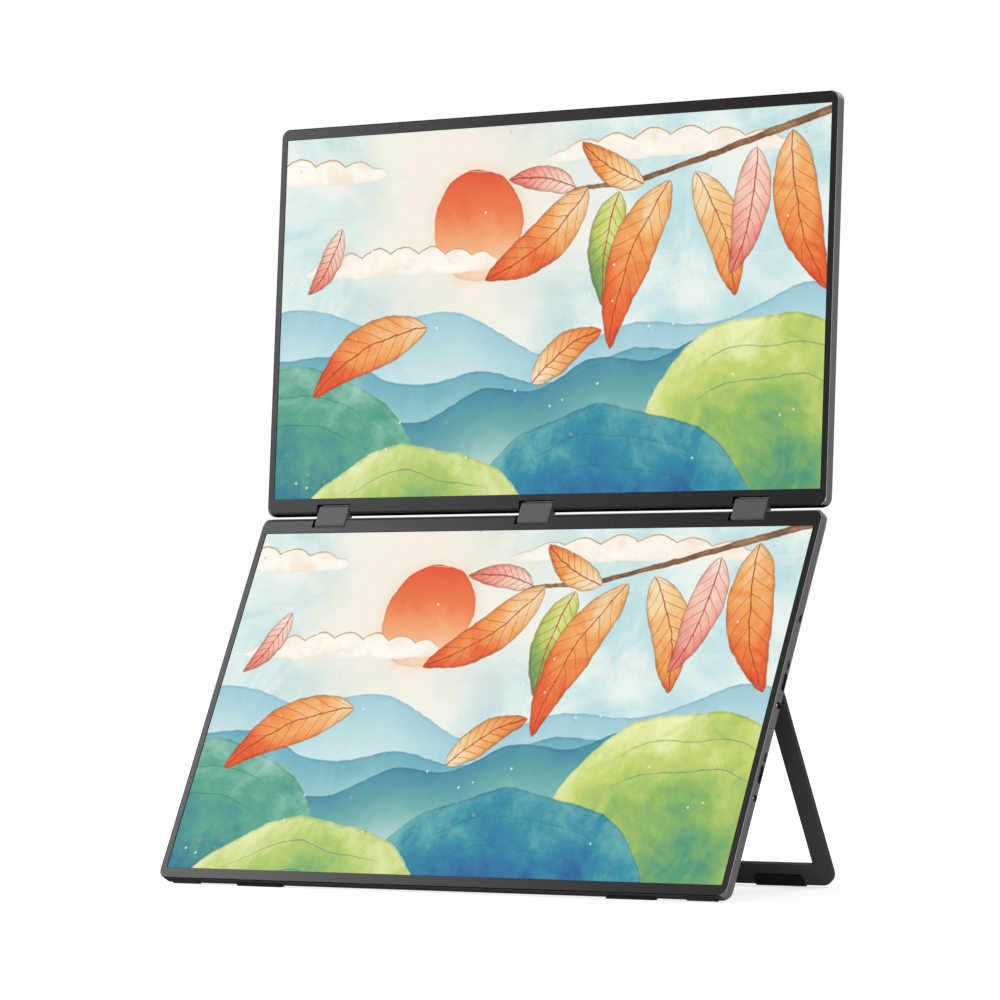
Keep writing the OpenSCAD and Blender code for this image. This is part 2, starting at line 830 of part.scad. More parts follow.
module usb_c_port(z) {
    inner_l = usb_l - 2 * usb_wall;
    inner_h = usb_h - 2 * usb_wall;
    tongue_l = 6.7;
    tongue_h = 0.7;
    color("#a3a5a8") on_lower() translate([0, port_y, z]) {
        difference() {
            along_x(usb_end_x - usb_d, usb_d) stadium(usb_l, usb_h);
            along_x(usb_end_x - usb_d + cut, usb_d) stadium(inner_l, inner_h);
        }
        block([usb_end_x - usb_d + cut / 2, -tongue_h / 2, -tongue_l / 2],
              [usb_end_x - cut, tongue_h / 2, tongue_l / 2]);
    }
}

module usb_c_port_1() {
    usb_c_port(usb_z[0]);
}

module usb_c_port_2() {
    usb_c_port(usb_z[1]);
}

module audio_jack(z) {
    r = jack_bore / 2 + jack_wall;
    back = 1;
    color("#161617") on_lower()
        difference() {
            block([wall_x - jack_d, port_y - r, z - jack_w / 2], [wall_x, port_y + r, z + jack_w / 2]);
            peg_x(wall_x - (jack_d - back) / 2 + cut / 2, port_y, z, jack_d - back + cut, jack_bore / 2);
        }
}

module audio_jack_1() {
    audio_jack(jack_z[0]);
}

module audio_jack_2() {
    audio_jack(jack_z[1]);
}

module button_switches() {
    color("#3c3d40") on_lower()
        for (z = concat(pill_z, [key_z]))
            block([switch_front_x - switch_d, port_y - button_h / 2, z - switch_w / 2],
                  [switch_front_x, board_y, z + switch_w / 2]);
}

// Button stem with the collar that keeps it in the wall
module side_button(z, l, h) {
    on_lower() translate([0, port_y, z]) {
        along_x(button_back_x, button_face_x - button_back_x) stadium(l, h);
        along_x(button_back_x, collar_t) stadium(l + 2 * collar_step, h + 2 * collar_step);
    }
}

module brightness_key() {
    color("#101011") side_button(key_z, key_l, button_h);
}

module source_button_1() {
    color("#29292b") side_button(pill_z[0], button_l, button_h);
}

module source_button_2() {
    color("#29292b") side_button(pill_z[1], button_l, button_h);
}

module power_button() {
    color("#5f5f61") side_button(pill_z[2], button_l, button_h);
}

module speaker(x) {
    color("#1a1a1c") on_lower()
        block([x - speaker_l / 2, inner_back - speaker_t, speaker_z],
              [x + speaker_l / 2, inner_back, speaker_z + speaker_w]);
}

module speaker_left() {
    speaker(-speaker_x);
}

module speaker_right() {
    speaker(speaker_x);
}

// Flat cables lie on the back of the display stack
module lower_display_cable() {
    driver_top = driver_z + driver_w;
    x0 = driver_l / 2 - cable_w - 3;
    z0 = display_socket_z;
    color("#c98b2e") on_lower() along_y(stack_y, cable_t)
        polygon([[x0, driver_top], [x0 + cable_w, driver_top], [x0 + cable_w, z0],
                 [display_socket_x + socket_l, z0], [display_socket_x + socket_l, z0 + cable_w],
                 [x0, z0 + cable_w]]);
}

module lower_link_cable() {
    x0 = notch_w / 2 + knuckle_l + 3 * wall_t;
    z0 = screen_h - cell_z;
    z1 = z0 - 21;
    color("#c98b2e") on_lower() along_y(stack_y, cable_t)
        polygon([[x0, z0], [x0, z1], [link_socket_x, z1], [link_socket_x, link_socket_z],
                 [link_socket_x + cable_w, link_socket_z], [link_socket_x + cable_w, z1 + cable_w],
                 [x0 + cable_w, z1 + cable_w], [x0 + cable_w, z0]]);
}

// ---------- Kickstand ----------

module stand_bracket(x) {
    w = 2 * (lug_x + lug_t);
    r = pivot_y - body_t;
    color("#2b2b2d") on_lower() translate([x, 0, 0])
        difference() {
            union() {
                for (s = [-1, 1])
                    along_x(s * (lug_x + lug_t / 2) - lug_t / 2, lug_t) {
                        translate([pivot_y, stand_pivot_z]) circle(r = r, $fn = round_fn);
                        translate([body_t, stand_pivot_z - r]) square([r, 2 * r]);
                        translate([body_t, stand_pivot_z]) square([bracket_t, bracket_h]);
                    }
                block([-w / 2, body_t, stand_pivot_z + barrel_r + cut],
                      [w / 2, body_t + bracket_t, stand_pivot_z + bracket_h]);
            }
            peg_x(0, pivot_y, stand_pivot_z, w + cut, pin_d / 2 + fit);
            for (s = [-1, 1])
                translate([s * bracket_screw_x, body_t, stand_pivot_z + bracket_screw_z]) {
                    peg_y(0, -cut, bracket_t + cut, 0, bracket_screw_r + run);
                    countersink(run);
                }
        }
}

// Cone of a countersunk head whose wide end is flush with the bracket plate
module countersink(play) {
    translate([0, bracket_t - bracket_head_t, 0]) rotate([-90, 0, 0])
        cylinder(r1 = bracket_screw_r + play, r2 = bracket_head_r + play, h = bracket_head_t,
                 $fn = round_fn);
}

module stand_bracket_left() {
    stand_bracket(-leg_x);
}

module stand_bracket_right() {
    stand_bracket(leg_x);
}

module stand_bracket_screws() {
    color("#8b8d90") on_lower() at_bracket_screws() {
        countersink(0);
        peg_y(0, bracket_boss_y - body_t + 0.7, bracket_t - bracket_head_t, 0, bracket_screw_r);
    }
}

module stand_pivot_pins() {
    color("#a7a9ac") on_lower()
        for (x = [-leg_x, leg_x])
            peg_x(x, pivot_y, stand_pivot_z, 2 * (lug_x + lug_t), pin_d / 2);
}

module stand_outline() {
    hw = stand_w / 2;
    difference() {
        union() {
            round_rect(-hw, -bar_end, hw, 0, stand_r);
            translate([-hw, -stand_r]) square([stand_w, stand_r]);
        }
        round_rect(leg_w - hw, bar_h - bar_end, hw - leg_w, 2 * stand_r, stand_in_r);
    }
}

module stand_frame() {
    color("#262628") on_stand()
        difference() {
            union() {
                along_y(-stand_t / 2, stand_t) stand_outline();
                for (x = [-leg_x, leg_x])
                    peg_x(x, 0, 0, leg_w, barrel_r);
            }
            for (x = [-leg_x, leg_x])
                peg_x(x, 0, 0, leg_w + cut, pin_d / 2 + run);
        }
}

module stand_foot(side) {
    x0 = side * (stand_w / 2 - stand_foot_inset - stand_foot_l / 2) - stand_foot_l / 2;
    top = stand_foot_h - stand_l;
    color("#0e0e0f") on_stand()
        difference() {
            intersection() {
                along_x(x0, stand_foot_l) {
                    translate([0, -stand_l]) circle(r = stand_foot_r, $fn = round_fn);
                    translate([-stand_foot_r, -stand_l])
                        square([2 * stand_foot_r, stand_foot_h - stand_foot_r]);
                }
                along_y(-stand_foot_r, 2 * stand_foot_r)
                    round_rect(x0, -stand_l - 2 * stand_foot_h, x0 + stand_foot_l,
                               top - stand_foot_r, stand_foot_corner);
            }
            block([x0 - cut, -stand_t / 2, -bar_end],
                  [x0 + stand_foot_l + cut, stand_t / 2, cut + top]);
        }
}

module stand_foot_left() {
    stand_foot(-1);
}

module stand_foot_right() {
    stand_foot(1);
}

module stand_friction_washers() {
    color("#c9a24a") on_stand()
        for (x = [-leg_x, leg_x], s = [-1, 1])
            difference() {
                peg_x(x + s * (leg_w + gap) / 2, 0, 0, washer_t, barrel_r);
                peg_x(x + s * (leg_w + gap) / 2, 0, 0, washer_t + cut, pin_d / 2 + run);
            }
}

// ---------- Feet ----------

// Height of the floor in the lower screen's frame at depth y
function floor_at(y) = ((y - edge_t) * sin(lower_lean) - foot_drop) / cos(lower_lean);

module foot(x) {
    y1 = edge_t - 0.2;
    y0 = y1 - foot_d;
    color("#1b1b1c") on_lower() along_x(x - foot_l / 2, foot_l)
        polygon([[y0, 0], [y1, 0], [y1, floor_at(y1)], [y0, floor_at(y0)]]);
}

module foot_left() {
    foot(foot_side - half_w + foot_shift);
}

module foot_right() {
    foot(half_w - foot_side + foot_shift);
}

module corner_pads() {
    color("#050506") on_lower()
        for (s = [-1, 1])
            along_x(s * (half_w - pad_side) - pad_l / 2, pad_l)
                translate([front_r + 0.4, -pad_t]) square([edge_t - front_r - 0.6, pad_t]);
}

// ---------- Upper screen ----------

module upper_rear_shell() {
    color("#6f6f71") on_upper_screen() rear_shell([-rib_out_x, -rib_in_x, rib_in_x, rib_out_x]);
}

module upper_bezel() {
    color("#3a3a3c") on_upper_screen() bezel();
}

module upper_lcd_glass() {
    color("#a7cbb8") on_upper_screen() lcd_glass();
}

module upper_light_guide() {
    color("#eef2f4") on_upper_screen() light_guide();
}

module upper_backlight_tray() {
    color("#b9bcc0") on_upper_screen() backlight_tray();
}

module upper_led_strip() {
    color("#f1ecd0") on_upper_screen() led_strip();
}

module upper_driver_board() {
    color("#1d5b3a") on_upper_screen() driver_board();
}

module upper_hinge_brackets() {
    color("#97999c") on_upper_screen() hinge_brackets();
}

module upper_hinge_shafts() {
    color("#b0b2b5") on_upper_screen() hinge_shafts();
}

module upper_hinge_screws() {
    color("#c4c6c9") on_upper_screen() hinge_screws();
}

module upper_link_cable() {
    x0 = notch_w / 2 + knuckle_l + 3 * wall_t;
    color("#c98b2e") on_upper_screen() along_y(stack_y, cable_t)
        polygon([[x0, cell_z], [x0 + cable_w, cell_z],
                 [x0 + cable_w, screen_h - driver_z - driver_w],
                 [x0, screen_h - driver_z - driver_w]]);
}

lower_rear_shell();
lower_bezel();
lower_lcd_glass();
lower_light_guide();
lower_backlight_tray();
lower_led_strip();
lower_driver_board();
lower_hinge_brackets();
lower_hinge_shafts();
lower_hinge_screws();
main_board();
main_board_chips();
main_board_screws();
usb_c_port_1();
usb_c_port_2();
audio_jack_1();
audio_jack_2();
button_switches();
speaker_left();
speaker_right();
lower_display_cable();
lower_link_cable();
stand_bracket_left();
stand_bracket_right();
stand_bracket_screws();
stand_pivot_pins();
foot_left();
foot_right();
corner_pads();
brightness_key();
source_button_1();
source_button_2();
power_button();
hinge_cover_left();
hinge_cover_middle();
hinge_cover_right();
hinge_end_caps();
hinge_torque_blocks();
upper_rear_shell();
upper_bezel();
upper_lcd_glass();
upper_light_guide();
upper_backlight_tray();
upper_led_strip();
upper_driver_board();
upper_hinge_brackets();
upper_hinge_shafts();
upper_hinge_screws();
upper_link_cable();
stand_frame();
stand_foot_left();
stand_foot_right();
stand_friction_washers();
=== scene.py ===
"""Looks of the twin portable monitor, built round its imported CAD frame.

Every length is in metres through mm(). Screen pieces are drawn in a screen's own frame:
x across, y backwards from the front face, z away from the hinge edge.
"""

import json
import math

import bmesh
import bpy
from mathutils import Matrix, Vector


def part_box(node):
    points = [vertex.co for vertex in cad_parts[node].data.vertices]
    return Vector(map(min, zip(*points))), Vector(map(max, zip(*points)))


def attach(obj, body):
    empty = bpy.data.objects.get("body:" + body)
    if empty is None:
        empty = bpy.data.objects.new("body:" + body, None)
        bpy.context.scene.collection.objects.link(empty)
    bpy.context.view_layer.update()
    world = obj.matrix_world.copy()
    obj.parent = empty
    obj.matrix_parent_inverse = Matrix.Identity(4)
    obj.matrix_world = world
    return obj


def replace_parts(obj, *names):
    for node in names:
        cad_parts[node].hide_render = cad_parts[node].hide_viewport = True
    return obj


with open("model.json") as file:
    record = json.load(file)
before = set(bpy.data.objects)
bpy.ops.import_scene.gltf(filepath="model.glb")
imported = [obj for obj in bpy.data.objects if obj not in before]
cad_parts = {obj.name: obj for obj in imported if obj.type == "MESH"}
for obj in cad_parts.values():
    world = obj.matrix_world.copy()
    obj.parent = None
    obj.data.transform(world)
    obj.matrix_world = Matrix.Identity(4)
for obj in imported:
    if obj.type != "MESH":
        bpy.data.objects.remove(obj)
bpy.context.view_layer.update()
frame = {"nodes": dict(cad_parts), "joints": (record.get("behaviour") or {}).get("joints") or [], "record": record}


def mm(value):
    """Metres from millimetres."""
    return value / 1000.0


# ---------- Driving dimensions, the same as the CAD's ----------

SCREEN_W = mm(352.0)
SCREEN_H = mm(209.2)
ACTIVE_W = mm(344.2)
ACTIVE_H = mm(193.6)
BEZEL_SIDE = mm(3.9)
BEZEL_HINGE = mm(9.5)
BEZEL_OUTER = mm(6.1)
BEZEL_T = mm(0.5)
BEZEL_START = mm(1.3)
EDGE_T = mm(5.8)
NOSE_R = mm(2.6)
BODY_T = mm(7.8)
BEVEL_W = mm(5.0)
RAMP_START = mm(7.0)
RAMP_END = mm(12.5)
CORNER_R = mm(5.0)
FRONT_R = mm(0.7)
RIM_W = mm(0.5)
WALL = mm(0.9)
SEAT = mm(0.05)
NOTCH_W = mm(21.6)
NOTCH_D = mm(6.1)
HINGE_PITCH = mm(131.6)
LINK_T = mm(4.8)
LINK_W = mm(19.8)
CAP_T = mm(0.8)
SHAFT_IN = mm(3.4)
SHAFT_PITCH = mm(8.6)
LOWER_LEAN = math.radians(25.5)
UPPER_LEAN = math.radians(3.5)
STAND_LEAN = math.radians(27.5)
STAND_W = mm(272.0)
STAND_T = mm(2.4)
STAND_R = mm(8.0)
STAND_IN_R = mm(1.5)
LEG_W = mm(10.6)
BAR_H = mm(12.0)
STAND_FOOT_R = mm(2.0)
STAND_FOOT_UNDER = mm(1.2)
STAND_FOOT_H = mm(5.4)
BARREL_R = mm(2.0)
BRACKET_T = mm(1.6)
BRACKET_SCREW_STEP = mm(5.0)
BRACKET_SCREW_Z = SCREEN_H - mm(183.0)
USB_SLOT = (mm(10.2), mm(3.2))
USB_SHELL = (mm(8.94), mm(3.0))
USB_WALL = mm(0.25)
USB_D = mm(7.6)
JACK_BORE_R = mm(1.78)
BUTTON_H = mm(2.0)
BUTTON_PLAY = mm(0.15)
BUTTON_OUT = mm(0.1)
COLLAR_STEP = mm(0.5)
COLLAR_T = mm(0.5)
SLOT_W = mm(1.3)
SLOT_PITCH = mm(3.2)
SOUND_SLOTS = (11, mm(7.0))
VENT_SLOTS = (9, mm(18.0))
VENT_ASIDE = mm(20.7)
HINGE_X = (-HINGE_PITCH, 0.0, HINGE_PITCH)
PORTS = ("1", "2")
BUTTONS = {"brightness_key": mm(3.9), "source_button_1": mm(4.8), "source_button_2": mm(4.8),
           "power_button": mm(4.8)}

# ---------- Fine detail, in this script alone ----------

SHARP_ANGLE = math.radians(28)
BEVEL_ANGLE = math.radians(40)
CUT_PAST = mm(1)
PIN_BORE_R = mm(1.05)
USB_SET_BACK = mm(0.2)
USB_BACK = mm(0.5)
USB_TONGUE_T = mm(0.72)
USB_CONTACTS = 12
USB_CONTACT_PITCH = mm(0.5)
JACK_LINING = mm(3.1)
JACK_CONTACT_SIZE = (mm(0.5), mm(0.8), mm(0.75))
JACK_CONTACT_AT = (mm(-0.6), mm(-1.25), mm(0.35))

# Share of a kickstand foot's width whose top is straight, and how far its ends are drawn in
STAND_FOOT_FLAT = 0.84
STAND_FOOT_DRAWN_IN = mm(2.3)

# Material slots of the marked faces of a shell: bright chamfers that are partly a painted highlight, black edges
# that are painted shade, and a darker matt outer end that is painted shade
POLISHED_RIM_AND_HIGHLIGHT_ZONE, BLACK_SHADE_ZONE, DARK_END_SHADE_ZONE = 1, 2, 3

# How far from the hinge edge a shell's faces are painted black as painted shade
EDGE_SHADE_REACH = {"lower": mm(0.4), "upper": mm(1.4)}

JOINTS = {joint["name"]: joint for joint in frame["joints"]}


def joint_place(name):
    """Where a joint's axis lies at rest."""
    return Vector(JOINTS[name]["pos_m"])


# ---------- Frames ----------

def leaning(lean, origin, down=False):
    """Matrix of a frame whose height axis leans back by lean from the vertical."""
    depth = Vector((0, math.cos(lean), -math.sin(lean)))
    height = Vector((0, math.sin(lean), math.cos(lean))) * (-1 if down else 1)
    columns = Matrix((Vector((1, 0, 0)), depth, height)).transposed().to_4x4()
    return Matrix.Translation(origin) @ columns


def hinge_corner(shaft, lean, down):
    """Where the front face would meet the hinge edge, from the shaft's place."""
    back = Vector((0, math.cos(lean), -math.sin(lean))) * NOSE_R
    away = Vector((0, math.sin(lean), math.cos(lean))) * SHAFT_IN * (-1 if down else 1)
    return shaft - back - away


LOWER = leaning(LOWER_LEAN, hinge_corner(joint_place("lower_hinge"), LOWER_LEAN, True), True)
UPPER = leaning(UPPER_LEAN, hinge_corner(joint_place("upper_hinge"), UPPER_LEAN, False))
LINKS = leaning(LOWER_LEAN, joint_place("lower_hinge"))
STAND = leaning(-STAND_LEAN, joint_place("kickstand_hinge"))
STAND_L = (joint_place("kickstand_hinge").z - STAND_FOOT_R) / math.cos(STAND_LEAN)


def middle(node, place):
    """Middle of a CAD node's box, in the frame of the matrix place."""
    low, high = (Vector(corner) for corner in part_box(node))
    return place.inverted() @ ((low + high) / 2)


# ---------- Node trees ----------

class Tree:
    """Short calls that add nodes to one node tree and return their output sockets."""

    def __init__(self, tree):
        self.tree = tree

    def node(self, kind, **settings):
        found = self.tree.nodes.new(kind)
        for name, value in settings.items():
            setattr(found, name, value)
        return found

    def link(self, value, socket):
        if isinstance(value, bpy.types.NodeSocket):
            self.tree.links.new(value, socket)
        else:
            socket.default_value = value

    def math(self, operation, *values):
        found = self.node("ShaderNodeMath", operation=operation)
        for value, socket in zip(values, found.inputs):
            self.link(value, socket)
        return found.outputs[0]

    def smooth(self, value, low, high, to_low=0.0, to_high=1.0):
        found = self.node("ShaderNodeMapRange", interpolation_type="SMOOTHSTEP")
        for item, socket in zip((value, low, high, to_low, to_high), found.inputs):
            self.link(item, socket)
        return found.outputs[0]

    def mix(self, share, a, b, blend="MIX"):
        found = self.node("ShaderNodeMix", data_type="RGBA", blend_type=blend)
        self.link(share, found.inputs[0])
        self.link(a, found.inputs[6])
        self.link(b, found.inputs[7])
        return found.outputs[2]

    def noise(self, vector, scale, detail=2.0, rough=0.5, distortion=0.0, colour=False):
        found = self.node("ShaderNodeTexNoise")
        self.link(vector, found.inputs["Vector"])
        self.link(scale, found.inputs["Scale"])
        self.link(detail, found.inputs["Detail"])
        self.link(rough, found.inputs["Roughness"])
        self.link(distortion, found.inputs["Distortion"])
        return found.outputs["Color" if colour else "Fac"]

    def split(self, vector):
        found = self.node("ShaderNodeSeparateXYZ")
        self.link(vector, found.inputs[0])
        return found.outputs

    def join(self, x, y, z=0.0):
        found = self.node("ShaderNodeCombineXYZ")
        for value, socket in zip((x, y, z), found.inputs):
            self.link(value, socket)
        return found.outputs[0]

    def vector(self, operation, *values, output="Vector"):
        found = self.node("ShaderNodeVectorMath", operation=operation)
        for value, socket in zip(values, found.inputs):
            self.link(value, socket)
        return found.outputs[output]

    def place(self):
        return self.node("ShaderNodeTexCoord").outputs["Object"]


def operation(name):
    """Method that applies one operation of the Math node."""
    return lambda self, *others: self.apply(name, *others)


class Value:
    """A number in a node tree that takes part in ordinary arithmetic."""

    def __init__(self, tree, socket):
        self.tree = tree
        self.socket = socket

    def apply(self, name, *others):
        values = [other.socket if isinstance(other, Value) else other for other in others]
        return Value(self.tree, self.tree.math(name, self.socket, *values))

    def __rsub__(self, other):
        return self.apply("MULTIPLY", -1.0).apply("ADD", other)

    def smooth(self, low, high, to_low=0.0, to_high=1.0):
        return Value(self.tree, self.tree.smooth(self.socket, low, high, to_low, to_high))

    __add__ = operation("ADD")
    __sub__ = operation("SUBTRACT")
    __mul__ = __rmul__ = operation("MULTIPLY")
    __truediv__ = operation("DIVIDE")
    least = operation("MINIMUM")
    most = operation("MAXIMUM")
    power = operation("POWER")
    size = operation("ABSOLUTE")
    sine = operation("SINE")
    root = operation("SQRT")
    whole = operation("ROUND")


def linear(hex_colour):
    """Linear RGBA of a colour written as sRGB hex."""
    parts = [int(hex_colour[i:i + 2], 16) / 255 for i in (0, 2, 4)]
    return tuple(c / 12.92 if c <= 0.04045 else ((c + 0.055) / 1.055) ** 2.4 for c in parts) + (1,)


def new_material(name):
    """A material with one Principled shader, its tree helper and the shader."""
    material = bpy.data.materials.new(name)
    material.use_nodes = True
    tree = Tree(material.node_tree)
    return material, tree, material.node_tree.nodes["Principled BSDF"]


def finish_material(name, colour, rough, metal=0.0, shift=0.12, grain=900, grain_depth=mm(0.004),
                    rough_shift=0.08, specular=0.5):
    """A satin, cast, coated or moulded finish with fine grain, soft mottling and handling marks."""
    material, t, shader = new_material(name)
    place = t.place()
    mottle = t.noise(place, 38, 4, 0.6)
    fine = t.noise(place, grain, 3, 0.6)
    marks = t.smooth(t.noise(place, 9, 5, 0.65, 0.6), 0.42, 0.75)
    base = linear(colour)
    dark = tuple(c * (1 - shift) for c in base[:3]) + (1,)
    light = tuple(min(1, c * (1 + shift)) for c in base[:3]) + (1,)
    tone = t.mix(mottle, dark, light)
    t.link(t.mix(t.math("MULTIPLY", fine, 0.25), tone, light), shader.inputs["Base Color"])
    spread = (Value(t, fine) - 0.5) * rough_shift + Value(t, marks) * rough_shift + rough
    t.link(spread.socket, shader.inputs["Roughness"])
    shader.inputs["Metallic"].default_value = metal
    shader.inputs["Specular IOR Level"].default_value = specular
    bump = t.node("ShaderNodeBump")
    bump.inputs["Strength"].default_value = 0.5
    bump.inputs["Distance"].default_value = grain_depth
    t.link(fine, bump.inputs["Height"])
    t.link(bump.outputs[0], shader.inputs["Normal"])
    return material


# ---------- Meshes ----------

def mesh_object(name, build):
    """A new object from build(bm), with outward faces."""
    bm = bmesh.new()
    build(bm)
    bmesh.ops.remove_doubles(bm, verts=bm.verts, dist=mm(0.002))
    bmesh.ops.dissolve_degenerate(bm, edges=bm.edges, dist=mm(0.001))
    bmesh.ops.recalc_face_normals(bm, faces=bm.faces)
    mesh = bpy.data.meshes.new(name)
    bm.to_mesh(mesh)
    bm.free()
    piece = bpy.data.objects.new(name, mesh)
    bpy.context.scene.collection.objects.link(piece)
    return piece


def soften(piece, weighted=True):
    """Smooth faces that meet in sharp edges above SHARP_ANGLE."""
    bm = bmesh.new()
    bm.from_mesh(piece.data)
    for face in bm.faces:
        face.smooth = True
    for edge in bm.edges:
        flat = len(edge.link_faces) == 2 and edge.calc_face_angle(math.pi) < SHARP_ANGLE
        edge.smooth = flat
    bm.to_mesh(piece.data)
    bm.free()
    if weighted:
        normals = piece.modifiers.new("even_normals", "WEIGHTED_NORMAL")
        normals.keep_sharp = True
    return piece


def round_edges(piece, width, segments=3):
    """Rounds the edges above BEVEL_ANGLE."""
    bevel = piece.modifiers.new("rounded_edges", "BEVEL")
    bevel.width = width
    bevel.segments = segments
    bevel.limit_method = "ANGLE"
    bevel.angle_limit = BEVEL_ANGLE
    bevel.harden_normals = True
    return piece


def dress(piece, body, material, slot, *others):
    """Gives a piece its material and its body, with other materials for marked faces; its slot argument is not
    used.
    """
    marks = [face.material_index for face in piece.data.polygons]
    piece.data.materials.clear()
    for used in (material, *others):
        piece.data.materials.append(used)
    piece.data.polygons.foreach_set("material_index", marks)
    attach(piece, body)
    return piece


def cut(piece, cutter, operation="DIFFERENCE"):
    """Applies an exact boolean and removes the cutter."""
    step = piece.modifiers.new("cut", "BOOLEAN")
    step.operation = operation
    step.solver = "EXACT"
    step.object = cutter
    graph = bpy.context.evaluated_depsgraph_get()
    mesh = bpy.data.meshes.new_from_object(piece.evaluated_get(graph))
    piece.modifiers.clear()
    old = piece.data
    piece.data = mesh
    mesh.name = piece.name
    bpy.data.meshes.remove(old)
    bpy.data.objects.remove(cutter)
    return piece


def bridge(bm, lower, upper):
    """Faces between two rings with the same number of points."""
    count = len(lower)
    for i in range(count):
        k = (i + 1) % count
        bm.faces.new((lower[i], lower[k], upper[k], upper[i]))


def loft(bm, rings, caps=True):
    """Faces between rings of points, with flat caps on both ends or joined end to end."""
    made = [[bm.verts.new(point) for point in points] for points in rings]
    for low, high in zip(made, made[1:]):
        bridge(bm, low, high)
    if caps:
        bm.faces.new(list(reversed(made[0])))
        bm.faces.new(made[-1])
    else:
        bridge(bm, made[-1], made[0])


def arc(cx, cy, r, start, end, steps):
    """Points of an arc in degrees, from start to end."""
    angles = [math.radians(start + (end - start) * i / steps) for i in range(steps + 1)]
    return [(cx + r * math.cos(a), cy + r * math.sin(a)) for a in angles]


def circle(cx, cy, r):
    """24 points of a whole circle."""
    return arc(cx, cy, r, 0, 345, 23)


def round_rect(x0, z0, x1, z1, radii, steps=8):
    """Outline with a radius for each corner, counter-clockwise from the low left one."""
    low_left, low_right, high_right, high_left = radii
    points = arc(x0 + low_left, z0 + low_left, low_left, 180, 270, steps)
    points += arc(x1 - low_right, z0 + low_right, low_right, 270, 360, steps)
    points += arc(x1 - high_right, z1 - high_right, high_right, 0, 90, steps)
    points += arc(x0 + high_left, z1 - high_left, high_left, 90, 180, steps)
    return points


def stadium(cx, cz, length, width, steps=10):
    """Outline of a slot that runs along the second axis."""
    half = (length - width) / 2
    points = arc(cx, cz - half, width / 2, 180, 360, steps)
    return points + arc(cx, cz + half, width / 2, 0, 180, steps)


# ---------- Screen surfaces ----------

# Points on both sides of an outline, close together where the back rises from the hinge edge
SIDE_STOPS = [mm(5.2 + 0.6 * i) for i in range(15)]


def screen_outline(side, hinge, outer, corner):
    """Plan outline of a screen, inset from its sides, hinge edge and outer edge."""
    half = SCREEN_W / 2 - side
    radius = max(corner, mm(0.05))
    corners = round_rect(-half, hinge, half, SCREEN_H - outer, (radius,) * 4)
    stops = [max(z, hinge + radius) for z in SIDE_STOPS]
    middle_of_right = len(corners) // 2
    return (corners[:middle_of_right] + [(half, z) for z in stops] + corners[middle_of_right:]
            + [(-half, z) for z in reversed(stops)])


def quarter(distance, radius):
    """How far a quarter round of that radius falls at a distance in from its edge."""
    if distance >= radius:
        return 0.0
    return radius - math.sqrt(max(0.0, radius ** 2 - (radius - distance) ** 2))


def front_depth(inset, z):
    """Depth of the front surface: round hinge edge, rounded outer edge, chamfered sides."""
    chamfer = max(0.0, mm(0.28) - inset)
    return max(quarter(z, NOSE_R), quarter(SCREEN_H - z, FRONT_R), chamfer)


def eased(value, top, soft):
    """value kept under top, with a soft bend before it."""
    room = (top - value) / soft
    if room >= 1:
        return value
    if room <= -1:
        return top
    return top - soft * (room + 1) ** 2 / 4


def back_depth(inset, z):
    """Depth of the back surface: bevels at three edges, round nose and ramp at the hinge."""
    soft = mm(0.35)
    slope = (BODY_T - EDGE_T) / BEVEL_W
    rim = eased(EDGE_T + slope * inset - quarter(inset, mm(0.6)), BODY_T, soft)
    if z < RAMP_START:
        return min(rim, 2 * NOSE_R - quarter(z, NOSE_R))
    rise = (BODY_T - 2 * NOSE_R) * (z - RAMP_START) / (RAMP_END - RAMP_START)
    return min(rim, eased(2 * NOSE_R + rise, BODY_T, soft))


def ring_at(depth, side, hinge=None):
    """Ring of points at one inset of the screen's outline, on a depth function or a plane."""
    hinge = side if hinge is None else hinge
    outline = screen_outline(side, hinge, side, CORNER_R - side)
    if callable(depth):
        return [(x, depth(side, z), z) for x, z in outline]
    return [(x, depth, z) for x, z in outline]


FRONT_INSETS = [mm(v) for v in (0.5, 0.4, 0.28, 0.14, 0.05, 0.0)]
BACK_INSETS = [mm(v) for v in (0.0, 0.05, 0.12, 0.25, 0.4, 0.6, 1.0, 1.5, 2.0, 2.3, 2.6, 3.4,
                               4.2, 4.6, 5.0, 5.4, 6.2, 6.7, 7.0, 7.3, 8.0, 9.0, 10.0, 11.0,
                               11.7, 12.1, 12.5, 12.9, 13.5)]


def shell_body(bm):
    """Outer skin with a recessed seat for the bezel, as one closed solid."""
    rings = [ring_at(BEZEL_T, RIM_W, BEZEL_START)]
    rings += [ring_at(front_depth, inset, inset * BEZEL_START / RIM_W) for inset in FRONT_INSETS]
    rings += [ring_at(back_depth, inset) for inset in BACK_INSETS]
    loft(bm, rings)


def shell_cavity(bm):
    """Hollow of the shell, open at the front and closed by the bezel."""
    nose = mm(4.4)
    start = BEZEL_START + mm(0.3)
    rings = [ring_at(-CUT_PAST, WALL, start), ring_at(nose, WALL, start),
             ring_at(nose + mm(0.01), WALL, RAMP_START + mm(0.4)),
             ring_at(BODY_T - WALL, BEVEL_W + mm(0.4), RAMP_END + mm(0.4))]
    loft(bm, rings)


def block(bm, low, high):
    """Box between two corners."""
    points = [(low[0], low[1]), (high[0], low[1]), (high[0], high[1]), (low[0], high[1])]
    loft(bm, [[(x, y, low[2]) for x, y in points], [(x, y, high[2]) for x, y in points]])


def notch_cutters(bm):
    """Boxes through the hinge notches, flared at the front for a fine chamfer."""
    flare = mm(0.22)
    for x in HINGE_X:
        rings = []
        steps = ((-CUT_PAST, flare), (0.0, flare), (flare, 0.0), (BODY_T + CUT_PAST, 0.0))
        for depth, extra in steps:
            spread = NOTCH_W / 2 + extra
            top = NOTCH_D + extra
            corners = ((x - spread, -CUT_PAST), (x + spread, -CUT_PAST),
                       (x + spread, top), (x - spread, top))
            rings.append([(px, depth, pz) for px, pz in corners])
        loft(bm, rings)


